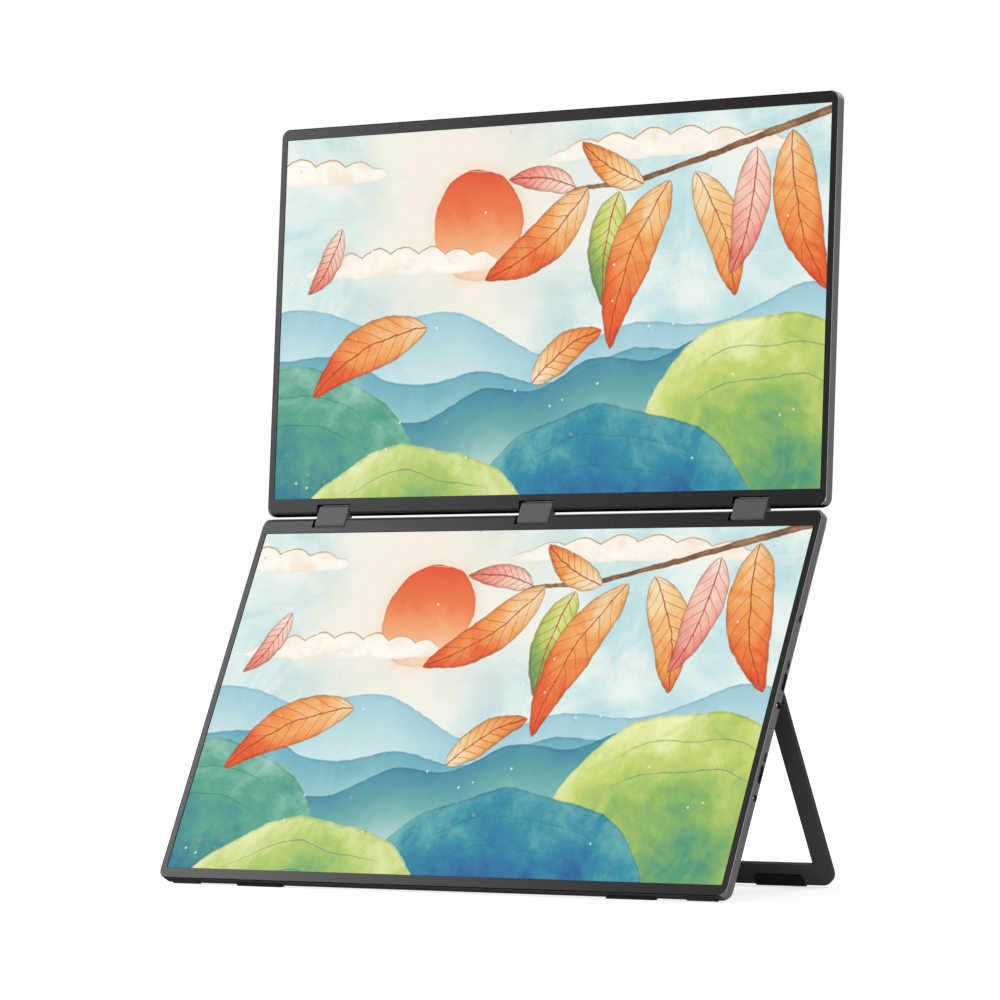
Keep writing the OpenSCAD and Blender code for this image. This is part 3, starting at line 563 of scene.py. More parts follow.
def notch_walls(bm):
    """Solid blocks that leave a wall round each notch inside the hollow shell."""
    for x in HINGE_X:
        half = NOTCH_W / 2 + WALL
        block(bm, (x - half, -2 * CUT_PAST, -CUT_PAST), (x + half, BODY_T, NOTCH_D + WALL))


def prism_x(outline, x0, x1):
    """Build function for a prism along x whose outline is in (depth, height)."""
    def build(bm):
        loft(bm, [[(x, y, z) for y, z in outline] for x in (x0, x1)])
    return build


def prism_y(outline, y0, y1):
    """Build function for a prism along the depth axis whose outline is in (x, height)."""
    def build(bm):
        loft(bm, [[(x, y, z) for x, z in outline] for y in (y0, y1)])
    return build


def set_in(piece, place):
    """Moves a mesh drawn in a local frame to its place in the world."""
    piece.data.transform(place)
    if place.to_3x3().determinant() < 0:
        piece.data.flip_normals()
    return piece


def add_piece(name, build, place, body, material, slot):
    """A smooth piece from build(bm), drawn in the frame place, that rides on body."""
    return dress(soften(set_in(mesh_object(name, build), place)), body, material, slot)


def hollow_shell(name):
    """Screen shell in its own frame: skin, hollow, bezel seat and hinge notches."""
    shell = mesh_object(name, shell_body)
    hollow = cut(mesh_object("hollow", shell_cavity), mesh_object("walls", notch_walls))
    shell = cut(shell, hollow)
    return cut(shell, mesh_object("notches", notch_cutters))


def in_notch(face):
    """Whether a face is a wall or chamfer of a hinge notch."""
    x, _, z = face.center
    near = mm(0.25)
    aside = min(abs(x - hinge) for hinge in HINGE_X)
    return aside < NOTCH_W / 2 + near and z < NOTCH_D + near and abs(face.normal.y) < 0.9


def mark_painted_light_zones(shell, shade_reach):
    """Marks a shell's bright chamfers (partly a painted highlight), its black lips, notches and hinge edge
    (painted shade), and its darker matt end (painted shade).
    """
    side = SCREEN_W / 2 - RIM_W - mm(0.01)
    for face in shell.data.polygons:
        x, depth, z = face.center
        at_end = z > SCREEN_H - RIM_W
        # Painted shade: black on the hinge edge, the notch walls and the front of the outer lip
        if z < shade_reach or in_notch(face) or at_end and face.normal.y < -0.6:
            face.material_index = BLACK_SHADE_ZONE
        # Beside the bezel: black on the front-facing seat as painted shade, and a lighter chamfer that is partly a
        # painted highlight
        elif abs(x) > side and depth < mm(0.3):
            face.material_index = BLACK_SHADE_ZONE if face.normal.y < -0.9 else POLISHED_RIM_AND_HIGHLIGHT_ZONE
        # Painted shade: the outer end face takes a darker matt copy of the case
        elif at_end and face.normal.z > 0.5:
            face.material_index = DARK_END_SHADE_ZONE
    return shell


def port_cutters(bm):
    """Cut-outs in the right-hand wall for the ports and buttons."""
    inside = SCREEN_W / 2 - WALL - mm(0.5)
    outside = SCREEN_W / 2 + CUT_PAST
    grow = 2 * BUTTON_PLAY
    outlines = [stadium(*middle("usb_c_port_" + number, LOWER)[1:], *USB_SLOT) for number in PORTS]
    outlines += [circle(*middle("audio_jack_" + number, LOWER)[1:], JACK_BORE_R + mm(0.02))
                 for number in PORTS]
    outlines += [stadium(*middle(name, LOWER)[1:], length + grow, BUTTON_H + grow)
                 for name, length in BUTTONS.items()]
    for outline in outlines:
        prism_x(outline, inside, outside)(bm)


def slot_cutters(bm):
    """Sound slots behind the speakers and vent slots behind the main board."""
    rows = []
    for node in ("speaker_left", "speaker_right"):
        place = middle(node, LOWER)
        rows.append((place.x, place.z, *SOUND_SLOTS))
    board = middle("main_board", LOWER)
    rows += [(board.x, board.z + side * VENT_ASIDE, *VENT_SLOTS) for side in (-1, 1)]
    for x, z, count, length in rows:
        for i in range(count):
            across = x + (i - (count - 1) / 2) * SLOT_PITCH
            outline = stadium(across, z, length, SLOT_W, 6)
            prism_y(outline, BODY_T - WALL - mm(0.5), BODY_T + CUT_PAST)(bm)


def bezel_body(bm):
    """Bezel plate that follows the rounded edges, with a fine chamfer at the picture."""
    edge = mm(0.18)
    side, hinge = RIM_W + SEAT, BEZEL_START + SEAT
    rings = [ring_at(BEZEL_T, side, hinge), ring_at(mm(0.45), side, hinge)]
    for step_side, step_hinge in ((0, 0), (0.15, 0.25), (0.35, 0.65), (0.65, 1.25)):
        rings.append(ring_at(front_depth, side + mm(step_side), hinge + mm(step_hinge)))
    for inset, depth in ((edge, 0.0), (0.0, edge), (0.0, BEZEL_T)):
        outline = screen_outline(BEZEL_SIDE - inset, BEZEL_HINGE - inset, BEZEL_OUTER - inset,
                                 mm(0.35))
        rings.append([(x, depth, z) for x, z in outline])
    loft(bm, rings, caps=False)


def build_screen(side, place, finishes):
    """Rear shell and bezel of one screen, with finishes for its CAD pieces."""
    body = side + "_screen"
    shell = hollow_shell(side + "_shell")
    if side == "lower":
        shell = cut(shell, mesh_object("ports", port_cutters))
        shell = cut(shell, mesh_object("slots", slot_cutters))
    shell = soften(set_in(mark_painted_light_zones(shell, EDGE_SHADE_REACH[side]), place))
    # The rim finish is partly a painted highlight; the hinge-edge and case-end finishes are painted shade
    dress(shell, body, finishes["case"], "case", finishes["rim"], finishes["hinge_edge"],
          finishes["case_end"])
    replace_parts(shell, side + "_rear_shell")
    bezel = mesh_object(side + "_bezel_plate", bezel_body)
    bezel = cut(bezel, mesh_object("notches", notch_cutters))
    # Painted shade: the bezel's notch walls take the black hinge-edge finish
    for face in bezel.data.polygons:
        face.material_index = 1 if in_notch(face) else 0
    dress(soften(set_in(bezel, place)), body, finishes["bezel"], "bezel", finishes["hinge_edge"])
    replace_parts(bezel, side + "_bezel")


# ---------- Hinges ----------

def link_outline(radius, steps=14):
    """Section of a link in (depth, height): two round ends on the shafts."""
    low = arc(0, 0, radius, 180, 360, steps)
    return low + arc(0, SHAFT_PITCH, radius, 0, 180, steps)


def build_links(finishes):
    """End caps of the hinge covers, with rounded outer edges."""
    def caps(bm):
        for x in HINGE_X:
            for side in (-1, 1):
                outer = x + side * LINK_W / 2
                inner = outer - side * (CAP_T - mm(0.03))
                steps = ((inner, 0.0), (outer - side * mm(0.32), 0.0),
                         (outer - side * mm(0.12), mm(0.1)), (outer, mm(0.32)))
                loft(bm, [[(px, y, z) for y, z in link_outline(LINK_T / 2 - drop)]
                          for px, drop in steps])

    piece = add_piece("link_end_caps", caps, LINKS, "hinge_links", finishes["hinge_cover"],
                      "hinge_cover")
    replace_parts(piece, "hinge_end_caps")


# ---------- Kickstand ----------

def stand_outline():
    """U-shaped outline in (x, height), counter-clockwise, without the knuckles."""
    half = STAND_W / 2
    bar_end = STAND_L + STAND_FOOT_R - STAND_FOOT_UNDER
    inner = half - LEG_W
    sill = BAR_H - bar_end
    outer = arc(STAND_R - half, STAND_R - bar_end, STAND_R, 180, 270, 12)
    outer += arc(half - STAND_R, STAND_R - bar_end, STAND_R, 270, 360, 12)
    low = arc(inner - STAND_IN_R, sill + STAND_IN_R, STAND_IN_R, 360, 270, 6)
    low += arc(STAND_IN_R - inner, sill + STAND_IN_R, STAND_IN_R, 270, 180, 6)
    return outer + [(half, 0), (inner, 0)] + low + [(-inner, 0), (-half, 0)]


def build_stand(finishes):
    """Kickstand plate with softened edges, its two knuckles and two rubber sleeves."""
    plate = prism_y(stand_outline(), -STAND_T / 2, STAND_T / 2)
    frame_piece = mesh_object("kickstand_frame", plate)
    for side in (-1, 1):
        x = side * (STAND_W - LEG_W) / 2
        knuckle = prism_x(circle(0, 0, BARREL_R), x - LEG_W / 2, x + LEG_W / 2)
        bore = prism_x(circle(0, 0, PIN_BORE_R), x - LEG_W, x + LEG_W)
        frame_piece = cut(frame_piece, mesh_object("knuckle", knuckle), "UNION")
        frame_piece = cut(frame_piece, mesh_object("bore", bore))
    set_in(frame_piece, STAND)
    inner = STAND_W / 2 - LEG_W + mm(0.1)
    # Painted shade: the inner sides of the legs and their inner corners take the black hinge-edge finish
    for face in frame_piece.data.polygons:
        if abs(face.center.x) < inner and abs(face.normal.x) + abs(face.normal.z) > 0.97:
            face.material_index = 1
    round_edges(soften(frame_piece, weighted=False), mm(0.3))
    dress(frame_piece, "kickstand", finishes["stand"], "stand", finishes["hinge_edge"])
    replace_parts(frame_piece, "stand_frame")
    for name in ("left", "right"):
        place = middle("stand_foot_" + name, STAND)
        low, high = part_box("stand_foot_" + name)

        def sleeve(bm, x=place.x, half=(high[0] - low[0]) / 2):
            """Sleeve round the foot bar: rounded sides, drawn in at the top corners."""
            bottom = -STAND_L
            top = STAND_FOOT_H - STAND_L
            rings = []
            for share in (-1, -0.985, -0.95, -0.9, -STAND_FOOT_FLAT,
                          STAND_FOOT_FLAT, 0.9, 0.95, 0.985, 1):
                gone = max(0.0, (abs(share) - STAND_FOOT_FLAT) / (1 - STAND_FOOT_FLAT))
                drop = STAND_FOOT_DRAWN_IN * (1 - math.sqrt(max(0.0, 1 - gone ** 2)))
                section = arc(0, bottom, STAND_FOOT_R, 180, 360, 12)
                lip = [(STAND_FOOT_R - mm(aside), top - drop - mm(down))
                       for aside, down in ((0, 0.5), (0.12, 0.12), (0.5, 0))]
                section += lip + [(-y, z) for y, z in reversed(lip)]
                rings.append([(x + share * half, y, z) for y, z in section])
            loft(bm, rings)

        foot = add_piece("kickstand_foot_" + name, sleeve, STAND, "kickstand", finishes["rubber"],
                         "rubber")
        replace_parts(foot, "stand_foot_" + name)


def build_brackets(finishes):
    """Hinge brackets of the kickstand with softened edges, and their cross-recessed screws."""
    for name in ("left", "right"):
        node = frame["nodes"]["stand_bracket_" + name]
        round_edges(soften(node, weighted=False), mm(0.2), 2)
    round_edges(soften(frame["nodes"]["stand_pivot_pins"], weighted=False), mm(0.15), 2)
    spots = []
    for name in ("left", "right"):
        place = middle("stand_bracket_" + name, LOWER)
        spots += [(place.x + step * BRACKET_SCREW_STEP, BRACKET_SCREW_Z) for step in (-1, 1)]
    top = BODY_T + BRACKET_T

    def heads(bm):
        """Countersunk heads, a little below the bracket's face at their rim."""
        steps = ((BODY_T - mm(2), 0.9), (top - mm(1), 0.9), (top - mm(0.12), 1.8),
                 (top - mm(0.04), 1.8), (top, 1.7))
        for x, z in spots:
            loft(bm, [[(px, depth, pz) for px, pz in circle(x, z, mm(r))] for depth, r in steps])

    def crosses(bm):
        """Tapered cross recesses, each one closed block with the outline of a plus."""
        for x, z in spots:
            rings = []
            for depth, share in ((top - mm(0.65), 0.55), (top + mm(0.2), 1.05)):
                a, b = mm(1.0) * share, mm(0.24) * share
                outline = ((-a, -b), (-b, -b), (-b, -a), (b, -a), (b, -b), (a, -b),
                           (a, b), (b, b), (b, a), (-b, a), (-b, b), (-a, b))
                rings.append([(x + dx, depth, z + dz) for dx, dz in outline])
            loft(bm, rings)

    screws = cut(mesh_object("bracket_screws", heads), mesh_object("crosses", crosses))
    dress(soften(set_in(screws, LOWER)), "lower_screen", finishes["screw"], "screw")
    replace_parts(screws, "stand_bracket_screws")


# ---------- Feet ----------

def build_feet():
    """Front feet and corner pads as soft-edged rubber blocks; the corner pads' near-black is partly rubber, partly
    painted shade.
    """
    for name in ("foot_left", "foot_right", "corner_pads"):
        round_edges(soften(frame["nodes"][name], weighted=False), mm(0.35))


# ---------- Ports and buttons ----------

def pill(place, length, height, steps, turn=10):
    """Build function for slot outlines along x, each drawn in by its drop."""
    def build(bm):
        rings = []
        for x, drop in steps:
            outline = stadium(place.y, place.z, length - 2 * drop, height - 2 * drop, turn)
            rings.append([(x, y, z) for y, z in outline])
        loft(bm, rings)
    return build


def build_usb(number, finishes):
    """USB-C receptacle: shell with a rounded lip, tongue and its two rows of contacts."""
    node = "usb_c_port_" + number
    place = middle(node, LOWER)
    mouth = SCREEN_W / 2 - USB_SET_BACK
    back = mouth - USB_D + USB_BACK
    lip = ((mouth - USB_D, 0.0), (mouth - mm(0.08), 0.0), (mouth, mm(0.08)),
           (mouth, USB_WALL - mm(0.06)), (mouth - mm(0.1), USB_WALL), (back, USB_WALL))

    def tongue(bm):
        """Moulded tongue with a chamfered front edge."""
        rings = []
        for x, half_y, half_z in ((back, USB_TONGUE_T / 2, mm(3.4)),
                                  (mouth - mm(1.15), USB_TONGUE_T / 2, mm(3.4)),
                                  (mouth - mm(0.95), mm(0.2), mm(3.25))):
            corners = ((-half_y, -half_z), (half_y, -half_z), (half_y, half_z), (-half_y, half_z))
            rings.append([(x, place.y + dy, place.z + dz) for dy, dz in corners])
        loft(bm, rings)

    def contacts(bm):
        """Twelve flat contacts on each face of the tongue."""
        for side in (-1, 1):
            face = place.y + side * USB_TONGUE_T / 2
            for i in range(USB_CONTACTS):
                z = place.z + (i - (USB_CONTACTS - 1) / 2) * USB_CONTACT_PITCH
                low, high = sorted((face - side * mm(0.05), face + side * mm(0.02)))
                block(bm, (mouth - mm(6), low, z - mm(0.13)), (mouth - mm(1.5), high, z + mm(0.13)))

    metal = add_piece("usb_shell_" + number, pill(place, *USB_SHELL, lip, 8), LOWER,
                      "lower_screen", finishes["port_shell"], "connector")
    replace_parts(metal, node)
    add_piece("usb_tongue_" + number, tongue, LOWER, "lower_screen", finishes["jack_plastic"],
              "jack_plastic")
    gold = set_in(mesh_object("usb_contacts_" + number, contacts), LOWER)
    dress(gold, "lower_screen", finishes["washer"], "washer")


def build_jack(number, finishes):
    """Black lining of an audio jack's bore, out to the wall, with its bright spring contact."""
    place = middle("audio_jack_" + number, LOWER)
    outside = SCREEN_W / 2 - mm(0.03)

    def lining(bm):
        outer, inner = JACK_BORE_R + mm(0.01), JACK_BORE_R - mm(0.02)
        deep = outside - JACK_LINING
        steps = ((deep, outer), (outside, outer), (outside, inner), (deep, inner))
        rings = [[(x, y, z) for y, z in circle(place.y, place.z, r)] for x, r in steps]
        loft(bm, rings, caps=False)

    def contact(bm):
        """Domed spring contact that bulges into the bore near its mouth, on its front side."""
        bmesh.ops.create_uvsphere(bm, u_segments=16, v_segments=10, radius=1.0)
        bmesh.ops.scale(bm, verts=bm.verts, vec=JACK_CONTACT_SIZE)
        mouth = Vector((outside, place.y, place.z))
        bmesh.ops.translate(bm, verts=bm.verts, vec=mouth + Vector(JACK_CONTACT_AT))

    add_piece("jack_lining_" + number, lining, LOWER, "lower_screen", finishes["jack_plastic"],
              "jack_plastic")
    add_piece("jack_contact_" + number, contact, LOWER, "lower_screen", finishes["jack_contact"],
              "connector")


def build_button(name, length, finish, slot):
    """Pill button with a soft crown and the collar that keeps it in the wall."""
    place = middle(name, LOWER)
    face = SCREEN_W / 2 - BUTTON_OUT
    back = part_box(name)[0][0]
    collar = back + COLLAR_T
    steps = ((back, -COLLAR_STEP), (collar, -COLLAR_STEP), (collar, 0.0), (face - mm(0.3), 0.0),
             (face - mm(0.14), mm(0.05)), (face - mm(0.04), mm(0.16)), (face - mm(0.01), mm(0.32)),
             (face, mm(0.6)))
    cap = pill(place, length, BUTTON_H, steps)
    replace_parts(add_piece(name + "_cap", cap, LOWER, name, finish, slot), name)


# ---------- Finishes ----------

# Slot, material name, colour, roughness and what else departs from the usual finish
COATS = (
    ("case", "case_anodised", "666667", 0.45,
     dict(shift=0.05, grain=2600, grain_depth=mm(0.006), specular=0.16)),
    # Painted shade: a darker, matt copy of the case for its outer end
    ("case_end", "case_end_painted_shade", "48484a", 0.7, dict(shift=0.05, grain=2600, specular=0.0)),
    # Partly a painted highlight: a polished chamfer in a lighter tone than the case
    ("rim", "rim_cut_and_painted_highlight", "808082", 0.4, dict(metal=0.5, shift=0.04, grain=2600)),
    # Painted shade: black for faces at hinge edges, notches, lips and the stand's inner sides
    ("hinge_edge", "hinge_edge_painted_shade", "0b0b0c", 0.7, dict(shift=0.1, grain=2200, specular=0.0)),
    ("bezel", "bezel_satin", "101011", 0.32,
     dict(shift=0.06, grain=2600, grain_depth=mm(0.003), rough_shift=0.04, specular=0.12)),
    ("stand", "stand_coated", "474748", 0.6, dict(shift=0.08, grain=1500, specular=0.05)),
    ("bracket", "bracket_coated", "2a2a2b", 0.5, dict(shift=0.08, grain=1500, specular=0.12)),
    ("hinge_cover", "link_satin", "4b4b4c", 0.5, dict(shift=0.05, grain=2400, specular=0.1)),
    ("rubber", "foot_rubber", "111112", 0.75,
     dict(shift=0.2, grain=2200, grain_depth=mm(0.02), specular=0.1)),
    # Partly painted shade: near-black rubber pads where the corners' underside is in shade
    ("pad_rubber", "pad_rubber", "070708", 0.72,
     dict(shift=0.2, grain=2200, grain_depth=mm(0.02), specular=0.15)),
    ("port_shell", "port_black_nickel", "19191b", 0.4,
     dict(metal=0.4, shift=0.06, grain=1800, specular=0.2)),
    ("jack_plastic", "jack_plastic", "0e0e0f", 0.55, dict(shift=0.15, grain=1600, specular=0.15)),
    ("button", "button_satin", "0d0d0e", 0.45, dict(shift=0.06, grain=2200, specular=0.15)),
    ("power_key", "power_key_satin", "5a5a5b", 0.4, dict(shift=0.06, grain=2200, specular=0.2)),
    ("tray", "tray_steel", "b3b6ba", 0.35, dict(metal=0.9, shift=0.05, grain=1500)),
)

# Slot, material name, colour, roughness and colour shift of the bare metals
METALS = (
    ("steel", "shaft_steel", "a9abae", 0.26, 0.06),
    ("screw", "screw_steel", "8d8f92", 0.3, 0.08),
    ("torque_steel", "torque_steel", "8a8c8f", 0.35, 0.08),
    ("connector", "connector_nickel", "b2b3b5", 0.28, 0.05),
    ("jack_contact", "contact_bright", "e6e7e8", 0.25, 0.03),
    ("washer", "brass", "c9a24a", 0.3, 0.06),
)

# The same with a grain scale, of the pieces inside the screens
INSIDES = (
    ("circuit_board", "board_green", "174f33", 0.4, 0.15, 700),
    ("chip", "chip_black", "1b1c1e", 0.6, 0.1, 1400),
    ("switch", "switch_grey", "3c3d40", 0.5, 0.1, 1400),
    ("flat_cable", "cable_amber", "c08430", 0.4, 0.08, 900),
    ("light_guide", "guide_clear", "e8edf0", 0.25, 0.02, 900),
    ("led", "led_strip", "efe9cc", 0.4, 0.05, 900),
)


def make_finishes():
    """Materials by the record's slot names."""
    made = {slot: finish_material(name, colour, rough, **more)
            for slot, name, colour, rough, more in COATS}
    for slot, name, colour, rough, shift in METALS:
        made[slot] = finish_material(name, colour, rough, metal=1.0, shift=shift, grain=1800)
    for slot, name, colour, rough, shift, grain in INSIDES:
        made[slot] = finish_material(name, colour, rough, shift=shift, grain=grain)
    return made


def dress_cad(finishes):
    """Gives the CAD nodes that stay in view the finish of their slot."""
    for part in frame["record"]["subparts"]:
        node = frame["nodes"][part["node"]]
        finish = finishes.get(part["material_slot"])
        if finish is not None:
            node.data.materials.clear()
            node.data.materials.append(finish)


# ---------- Picture on the displays ----------

class Painting:
    """Watercolour layers over the plane (u, v), where the picture's height is 1."""

    def __init__(self, tree, u, v):
        self.tree = tree
        flat = tree.join(u.socket, v.socket)
        self.flat = flat
        coarse = tree.split(tree.noise(flat, 5.0, 3, 0.55, colour=True))
        fine = tree.split(tree.noise(flat, 30.0, 3, 0.6, colour=True))
        self.u = u + (self.value(coarse[0]) - 0.5) * 0.035 + (self.value(fine[0]) - 0.5) * 0.008
        self.v = v + (self.value(coarse[1]) - 0.5) * 0.035 + (self.value(fine[1]) - 0.5) * 0.008
        self.pool = self.value(tree.noise(flat, 3.2, 5, 0.62, 0.5))
        self.bloom = self.value(tree.noise(flat, 9.0, 5, 0.68, 0.9))
        self.grain = self.value(tree.noise(flat, 220.0, 2, 0.7))
        self.colour = linear("e6f1ee")

    def value(self, socket):
        return Value(self.tree, socket)

    def tones(self, share, *colours):
        """A ramp through evenly spaced hex colours."""
        ramp = self.tree.node("ShaderNodeValToRGB")
        stops = ramp.color_ramp.elements
        while len(stops) < len(colours):
            stops.new(0.5)
        for i, colour in enumerate(colours):
            stops[i].position = i / (len(colours) - 1)
            stops[i].color = linear(colour)
        self.tree.link(share.socket, ramp.inputs[0])
        return ramp.outputs[0]

    def lay(self, share, colour, blend="MIX"):
        """Puts one layer of colour over the picture."""
        self.colour = self.tree.mix(share.socket if isinstance(share, Value) else share,
                                    self.colour, colour, blend)

    def wash(self, depth, colour, veil=None, edge=0.35, width=0.012):
        """Fills where depth is over 0, with a soft border and darker pigment along it."""
        inside = depth.smooth(-0.0022, 0.0022)
        if veil is not None:
            inside = inside * veil
        self.lay(inside, colour)
        rim = inside * depth.smooth(0.0, width, 1.0, 0.0) * self.bloom.smooth(0.3, 0.7, 0.4, 1.0)
        self.lay(rim * edge, linear("54707a"), "MULTIPLY")

    def line(self, distance, width, share, colour):
        """A thin pen line where distance is near 0."""
        self.lay(distance.size().smooth(width * 0.5, width, 1.0, 0.0) * share, linear(colour))


def paint_ground(art):
    """Pale aqua paper wash with warm light near the top."""
    cool = art.tones(art.pool.smooth(0.3, 0.72), "b9dde2", "d3ebea", "e9f4ef", "f1f6ee")
    art.lay(1.0, cool)
    glow = ((art.u - 0.62) * (art.u - 0.62) + (art.v - 0.78) * (art.v - 0.78)).root()
    art.lay(glow.smooth(0.1, 0.62, 0.75, 0.0), linear("fbeedd"))


def paint_sun(art):
    """Coral disc that pales towards the mist below it."""
    du, dv = art.u - 0.66, art.v - 0.735
    depth = 0.15 - (du * du + dv * dv).root()
    tone = art.tones((dv + 0.15) * 3.3 + art.bloom * 0.3 - 0.1,
                     "fbe3c8", "f6b27e", "ee7a45", "e5552b")
    art.wash(depth, tone, edge=0.2)
    art.lay((depth * -1.0).smooth(0.0, 0.035, 0.35, 0.0) * depth.smooth(-0.002, 0.002, 1.0, 0.0),
            linear("f8d8b4"))


def paint_clouds(art):
    """Long flat banks of cream cloud with an ochre pen line along their puffs."""
    banks = ((0.42, 0.62, 0.34, 34.0), (1.28, 0.9, 0.4, 27.0), (0.05, 0.88, 0.3, 31.0))
    for at, level, reach, period in banks:
        across = (art.u - at) / reach
        dome = (1.0 - across * across).most(0.0).root()
        puffs = ((art.u * period).sine().size() * 0.022 + 0.045) * dome
        top = puffs - (art.v - level)
        depth = top.least((art.v - level) + 0.012 * dome)
        tone = art.tones(art.bloom.smooth(0.3, 0.7), "f8ead6", "fdf6ea", "fffdf6")
        art.wash(depth, tone, edge=0.08)
        art.line(top, 0.0028, depth.smooth(-0.02, 0.0) * dome, "c9a36c")


def paint_hills(art):
    """Misty ridges from pale far ones to deep near ones."""
    ridges = (
        (0.46, 0.05, 4.1, 0.6, 0.03, 11.0, ("d9eef0", "b4dbe2", "8cc3d2"), 0.24),
        (0.37, 0.06, 3.0, 2.6, 0.022, 13.0, ("cfe8e2", "8cc6c8", "4f9fb8"), 0.26),
        (0.29, 0.10, 2.3, 4.4, 0.02, 17.0, ("bfe0cf", "5fa9a5", "2f7fa3"), 0.26),
    )
    for level, swell, rate, phase, ripple, quick, colours, fade in ridges:
        wave = (art.u * rate + phase).sine() * swell
        depth = wave + (art.u * quick + phase * 2.0).sine() * ripple + level - art.v
        tone = art.tones((1.0 - depth / fade) * 0.75 + art.bloom * 0.4 - 0.1, *colours)
        art.wash(depth, tone, veil=depth.smooth(0.0, fade * 1.3, 0.96, 0.35), edge=0.25)


def paint_mounds(art):
    """Round green and deep blue mounds in the foreground, with a few fine contour lines."""
    mounds = (
        (1.62, 0.10, 0.42, 0.36, ("eef3b4", "c6d66f", "8fba62", "4d9a77")),
        (0.05, 0.02, 0.44, 0.34, ("9fd0c0", "5aa88c", "2f8191", "1f5f93")),
        (1.12, -0.10, 0.46, 0.33, ("79bcb4", "2f8fa6", "2463a0", "1d3f86")),
        (0.48, -0.18, 0.42, 0.32, ("e6efae", "b7cf6c", "79b069", "3f8f86")),
    )
    for at, base, half, high, colours in mounds:
        across = (art.u - at) / half
        lift = (1.0 - across * across).most(0.0).root() * high + (art.u * 19.0).sine() * 0.008
        depth = (lift + base) - art.v
        depth = depth.least((1.0 - across.size()) * half)
        blots = (art.pool - 0.5) * 1.3 + (art.bloom - 0.5) * 0.7
        tone = art.tones(depth * 1.7 + blots + 0.15, *colours)
        art.wash(depth, tone, edge=0.4)
        for step in (0.075, 0.16):
            art.line(depth - step - (art.u * 23.0 + at).sine() * 0.006, 0.0022,
                     across.size().smooth(0.35, 0.7, 0.5, 0.0), "2f6f78")


def paint_leaf(art, at, angle, length, width, bend, colours):
    """A pointed leaf from its stem at (u, v), with a midrib and side veins."""
    turn = math.radians(angle)
    du, dv = art.u - at[0], art.v - at[1]
    along = (du * math.cos(turn) + dv * math.sin(turn)) / length
    side = (dv * math.cos(turn) - du * math.sin(turn)) / length
    room = (along * (1.0 - along)).most(0.0)
    bowed = side - room * bend
    half = room.power(0.72) * (1.0 - along * 0.45) * width
    depth = (half - bowed.size()) * length
    depth = depth.least(along * length).least((1.0 - along) * length)
    across = bowed.size() / half.most(0.02)
    tone = art.tones(along * 0.8 + (art.bloom - 0.5) * 0.9 + across * 0.15, *colours)
    art.wash(depth, tone, edge=0.45)
    inside = depth.smooth(0.0, 0.006)
    slant = (along - across * 0.16) * 9.0
    comb = slant - slant.whole()
    art.line(comb * (length / 9.0), 0.0022, inside * across.smooth(0.85, 1.0, 0.7, 0.0), VEIN)
    art.line(bowed * length, 0.003, inside * 0.85, VEIN)
    art.line(depth, 0.0022, 0.6, "a8562a")


VEIN = "b5391c"
FLAME = ("f6dfae", "f3a75b", "ec6a30", "dd3f1b")
AMBER = ("fbeccb", "f7cf8e", "f09a4e", "e0602a")
ROSE = ("fdeadb", "f7c6b4", "ee9686", "dc5f4c")
MOSS = ("eef1b0", "c3d267", "86b45c", "3f8d63")


def paint_branch(art):
    """A bough from the upper right with large flame-coloured leaves, and two in the air."""
    run = (art.u - 1.9) * -1.0
    course = 1.03 - run * 0.36 + run * run * 0.13 + (art.u * 9.0).sine() * 0.008
    thick = 0.013 - run * 0.008
    reach = run.smooth(0.92, 1.0, 1.0, 0.0)
    depth = thick - (art.v - course).size()
    art.wash(depth, art.tones(art.bloom.smooth(0.3, 0.7), "6f4a35", "9a6a47", "c49a6c"),
             veil=reach, edge=0.5)
    leaves = (
        ((1.02, 0.815), 215, 0.40, 0.54, 0.35, FLAME),
        ((1.12, 0.80), 262, 0.30, 0.60, -0.30, MOSS),
        ((1.28, 0.815), 248, 0.46, 0.52, -0.35, FLAME),
        ((1.36, 0.84), 292, 0.36, 0.58, 0.30, AMBER),
        ((1.20, 0.82), 150, 0.24, 0.60, 0.25, AMBER),
        ((1.55, 0.90), 258, 0.34, 0.56, 0.25, ROSE),
        ((1.66, 0.94), 286, 0.44, 0.54, -0.30, FLAME),
        ((0.98, 0.82), 172, 0.22, 0.58, -0.30, ROSE),
        ((0.50, 0.46), 205, 0.42, 0.54, -0.40, FLAME),
        ((0.86, 0.30), 32, 0.26, 0.60, 0.35, AMBER),
        ((0.20, 0.74), 238, 0.20, 0.60, 0.30, ROSE),
    )
    for leaf in leaves:
        paint_leaf(art, *leaf)


def paint_splatter(art):
    """Small drops of white and orange paint."""
    for scale, limit, colour, share in ((26.0, 0.11, "fffdf4", 0.6), (17.0, 0.09, "f0824a", 0.35)):
        cells = art.tree.node("ShaderNodeTexVoronoi")
        art.tree.link(art.flat, cells.inputs["Vector"])
        cells.inputs["Scale"].default_value = scale
        near = art.value(cells.outputs["Distance"])
        pick = art.value(art.tree.split(cells.outputs["Color"])[0]).smooth(0.8, 0.82)
        art.lay(near.smooth(limit * 0.8, limit, 1.0, 0.0) * pick * share, linear(colour))


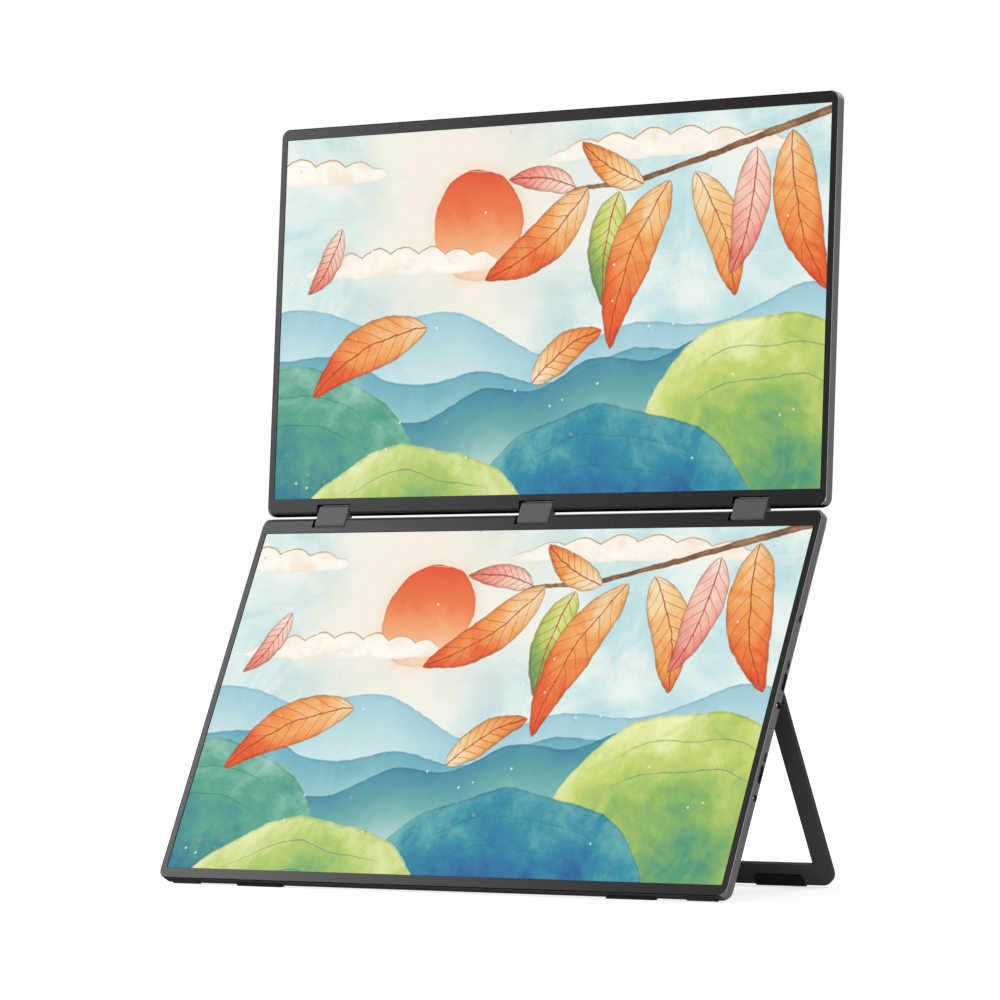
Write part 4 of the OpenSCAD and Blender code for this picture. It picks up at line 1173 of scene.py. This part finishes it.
def picture_material(name, corner, up, shift):
    """Lit display: the painting as its own light, under a matt glass surface."""
    material, t, shader = new_material(name)
    away = t.vector("SUBTRACT", t.place(), corner)
    u, v = (Value(t, t.vector("DOT_PRODUCT", away, axis, output="Value")) / ACTIVE_H + move
            for axis, move in zip(((1, 0, 0), up), shift))
    art = Painting(t, u, v)
    for paint in (paint_ground, paint_sun, paint_clouds, paint_hills, paint_mounds, paint_branch,
                  paint_splatter):
        paint(art)
    paper = art.tones(art.grain.smooth(0.25, 0.75), "f6f6f4", "ffffff")
    art.lay(0.6, paper, "MULTIPLY")
    t.link(art.colour, shader.inputs["Emission Color"])
    shader.inputs["Emission Strength"].default_value = 0.98
    shader.inputs["Base Color"].default_value = linear("0c0d0e")
    shader.inputs["Roughness"].default_value = 0.6
    shader.inputs["Specular IOR Level"].default_value = 0.08
    return material


def light_displays():
    """Gives both display cells their picture, the lower one shifted a little."""
    screens = (("lower", LOWER, SCREEN_H - BEZEL_OUTER, -1, (0.03, -0.015)),
               ("upper", UPPER, BEZEL_HINGE, 1, (0.0, 0.0)))
    for side, place, bottom, sense, shift in screens:
        corner = place @ Vector((-ACTIVE_W / 2, BEZEL_T, bottom))
        up = place.to_3x3() @ Vector((0, 0, sense))
        glass = frame["nodes"][side + "_lcd_glass"]
        glass.data.materials.clear()
        glass.data.materials.append(picture_material(side + "_picture", corner, up, shift))


# ---------- Studio ----------

CAMERA_PLACE = (1.5386, -2.1742, 0.1246)
CAMERA_TURN = (math.radians(91.588), 0, math.radians(35.587))
CAMERA_LENS = 186.43
AMBIENT = 0.3
FLOOR_TONE = 0.4

# Name, place, point that it faces, size and power in watts
LAMPS = (
    ("key_high", (-0.70, -0.44, 0.60), (-0.05, -0.04, 0.1), (0.26, 0.38), 4.7),
    ("key_low", (-0.68, -0.62, 0.36), (-0.05, 0.01, 0.3), (0.26, 0.34), 2.5),
    ("fill", (0.64, -1.1, 0.10), (0.05, 0, 0.12), (0.5, 0.4), 12),
    ("back", (0.4, 1.6, 1.3), (0, 0, 0.2), (1.2, 0.9), 20),
    ("top", (0.0, 0.1, 2.0), (0, 0, 0.2), (1.2, 1.2), 8),
)


def area_light(name, place, target, size, power):
    """A rectangular lamp that faces target and doesn't show itself to the camera."""
    lamp = bpy.data.lights.new(name, "AREA")
    lamp.shape = "RECTANGLE"
    lamp.size, lamp.size_y = size
    lamp.energy = power
    holder = bpy.data.objects.new(name, lamp)
    holder.location = place
    holder.rotation_euler = (Vector(target) - Vector(place)).to_track_quat("-Z", "Y").to_euler()
    holder.visible_camera = False
    bpy.context.scene.collection.objects.link(holder)


def seen_directly(t):
    """1 for rays that show the surround to the camera, also through gloss or glass."""
    path = t.node("ShaderNodeLightPath").outputs
    mirrored = t.math("MAXIMUM", path["Is Glossy Ray"], path["Is Transmission Ray"])
    return t.math("MAXIMUM", path["Is Camera Ray"], mirrored)


def build_studio():
    """Camera at the photograph's angle, pale floor, soft lamps and a white surround."""
    scene = bpy.context.scene
    scene.view_settings.view_transform = "Standard"
    camera = bpy.data.cameras.new("camera")
    camera.sensor_width = 36
    camera.lens = CAMERA_LENS
    camera.clip_end = 50
    holder = bpy.data.objects.new("camera", camera)
    holder.location = CAMERA_PLACE
    holder.rotation_euler = CAMERA_TURN
    scene.collection.objects.link(holder)
    scene.camera = holder

    def plane(bm):
        bmesh.ops.create_grid(bm, x_segments=1, y_segments=1, size=6)

    floor = mesh_object("studio_floor", plane)
    material, t, shader = new_material("floor_white")
    shader.inputs["Base Color"].default_value = (FLOOR_TONE,) * 3 + (1,)
    shader.inputs["Roughness"].default_value = 0.9
    shader.inputs["Emission Color"].default_value = (1, 1, 1, 1)
    away = t.vector("LENGTH", t.place(), output="Value")
    lift = t.smooth(away, 0.25, 0.9, 0.62, 1.0)
    glow = t.math("MULTIPLY", lift, seen_directly(t))
    t.link(glow, shader.inputs["Emission Strength"])
    floor.data.materials.append(material)

    world = bpy.data.worlds.new("studio")
    world.use_nodes = True
    scene.world = world
    t = Tree(world.node_tree)
    background = world.node_tree.nodes["Background"]
    background.inputs["Color"].default_value = (1, 1, 1, 1)
    t.link(t.smooth(seen_directly(t), 0.0, 1.0, AMBIENT, 1.0), background.inputs["Strength"])
    for lamp in LAMPS:
        area_light(*lamp)


# ---------- Scene ----------

FINISHES = make_finishes()
dress_cad(FINISHES)
build_screen("lower", LOWER, FINISHES)
build_screen("upper", UPPER, FINISHES)
light_displays()
build_links(FINISHES)
build_stand(FINISHES)
build_brackets(FINISHES)
build_feet()
for port in PORTS:
    build_usb(port, FINISHES)
    build_jack(port, FINISHES)
for button, stem in BUTTONS.items():
    slot = {"brightness_key": "rubber", "power_button": "power_key"}.get(button, "button")
    build_button(button, stem, FINISHES[slot], slot)
build_studio()
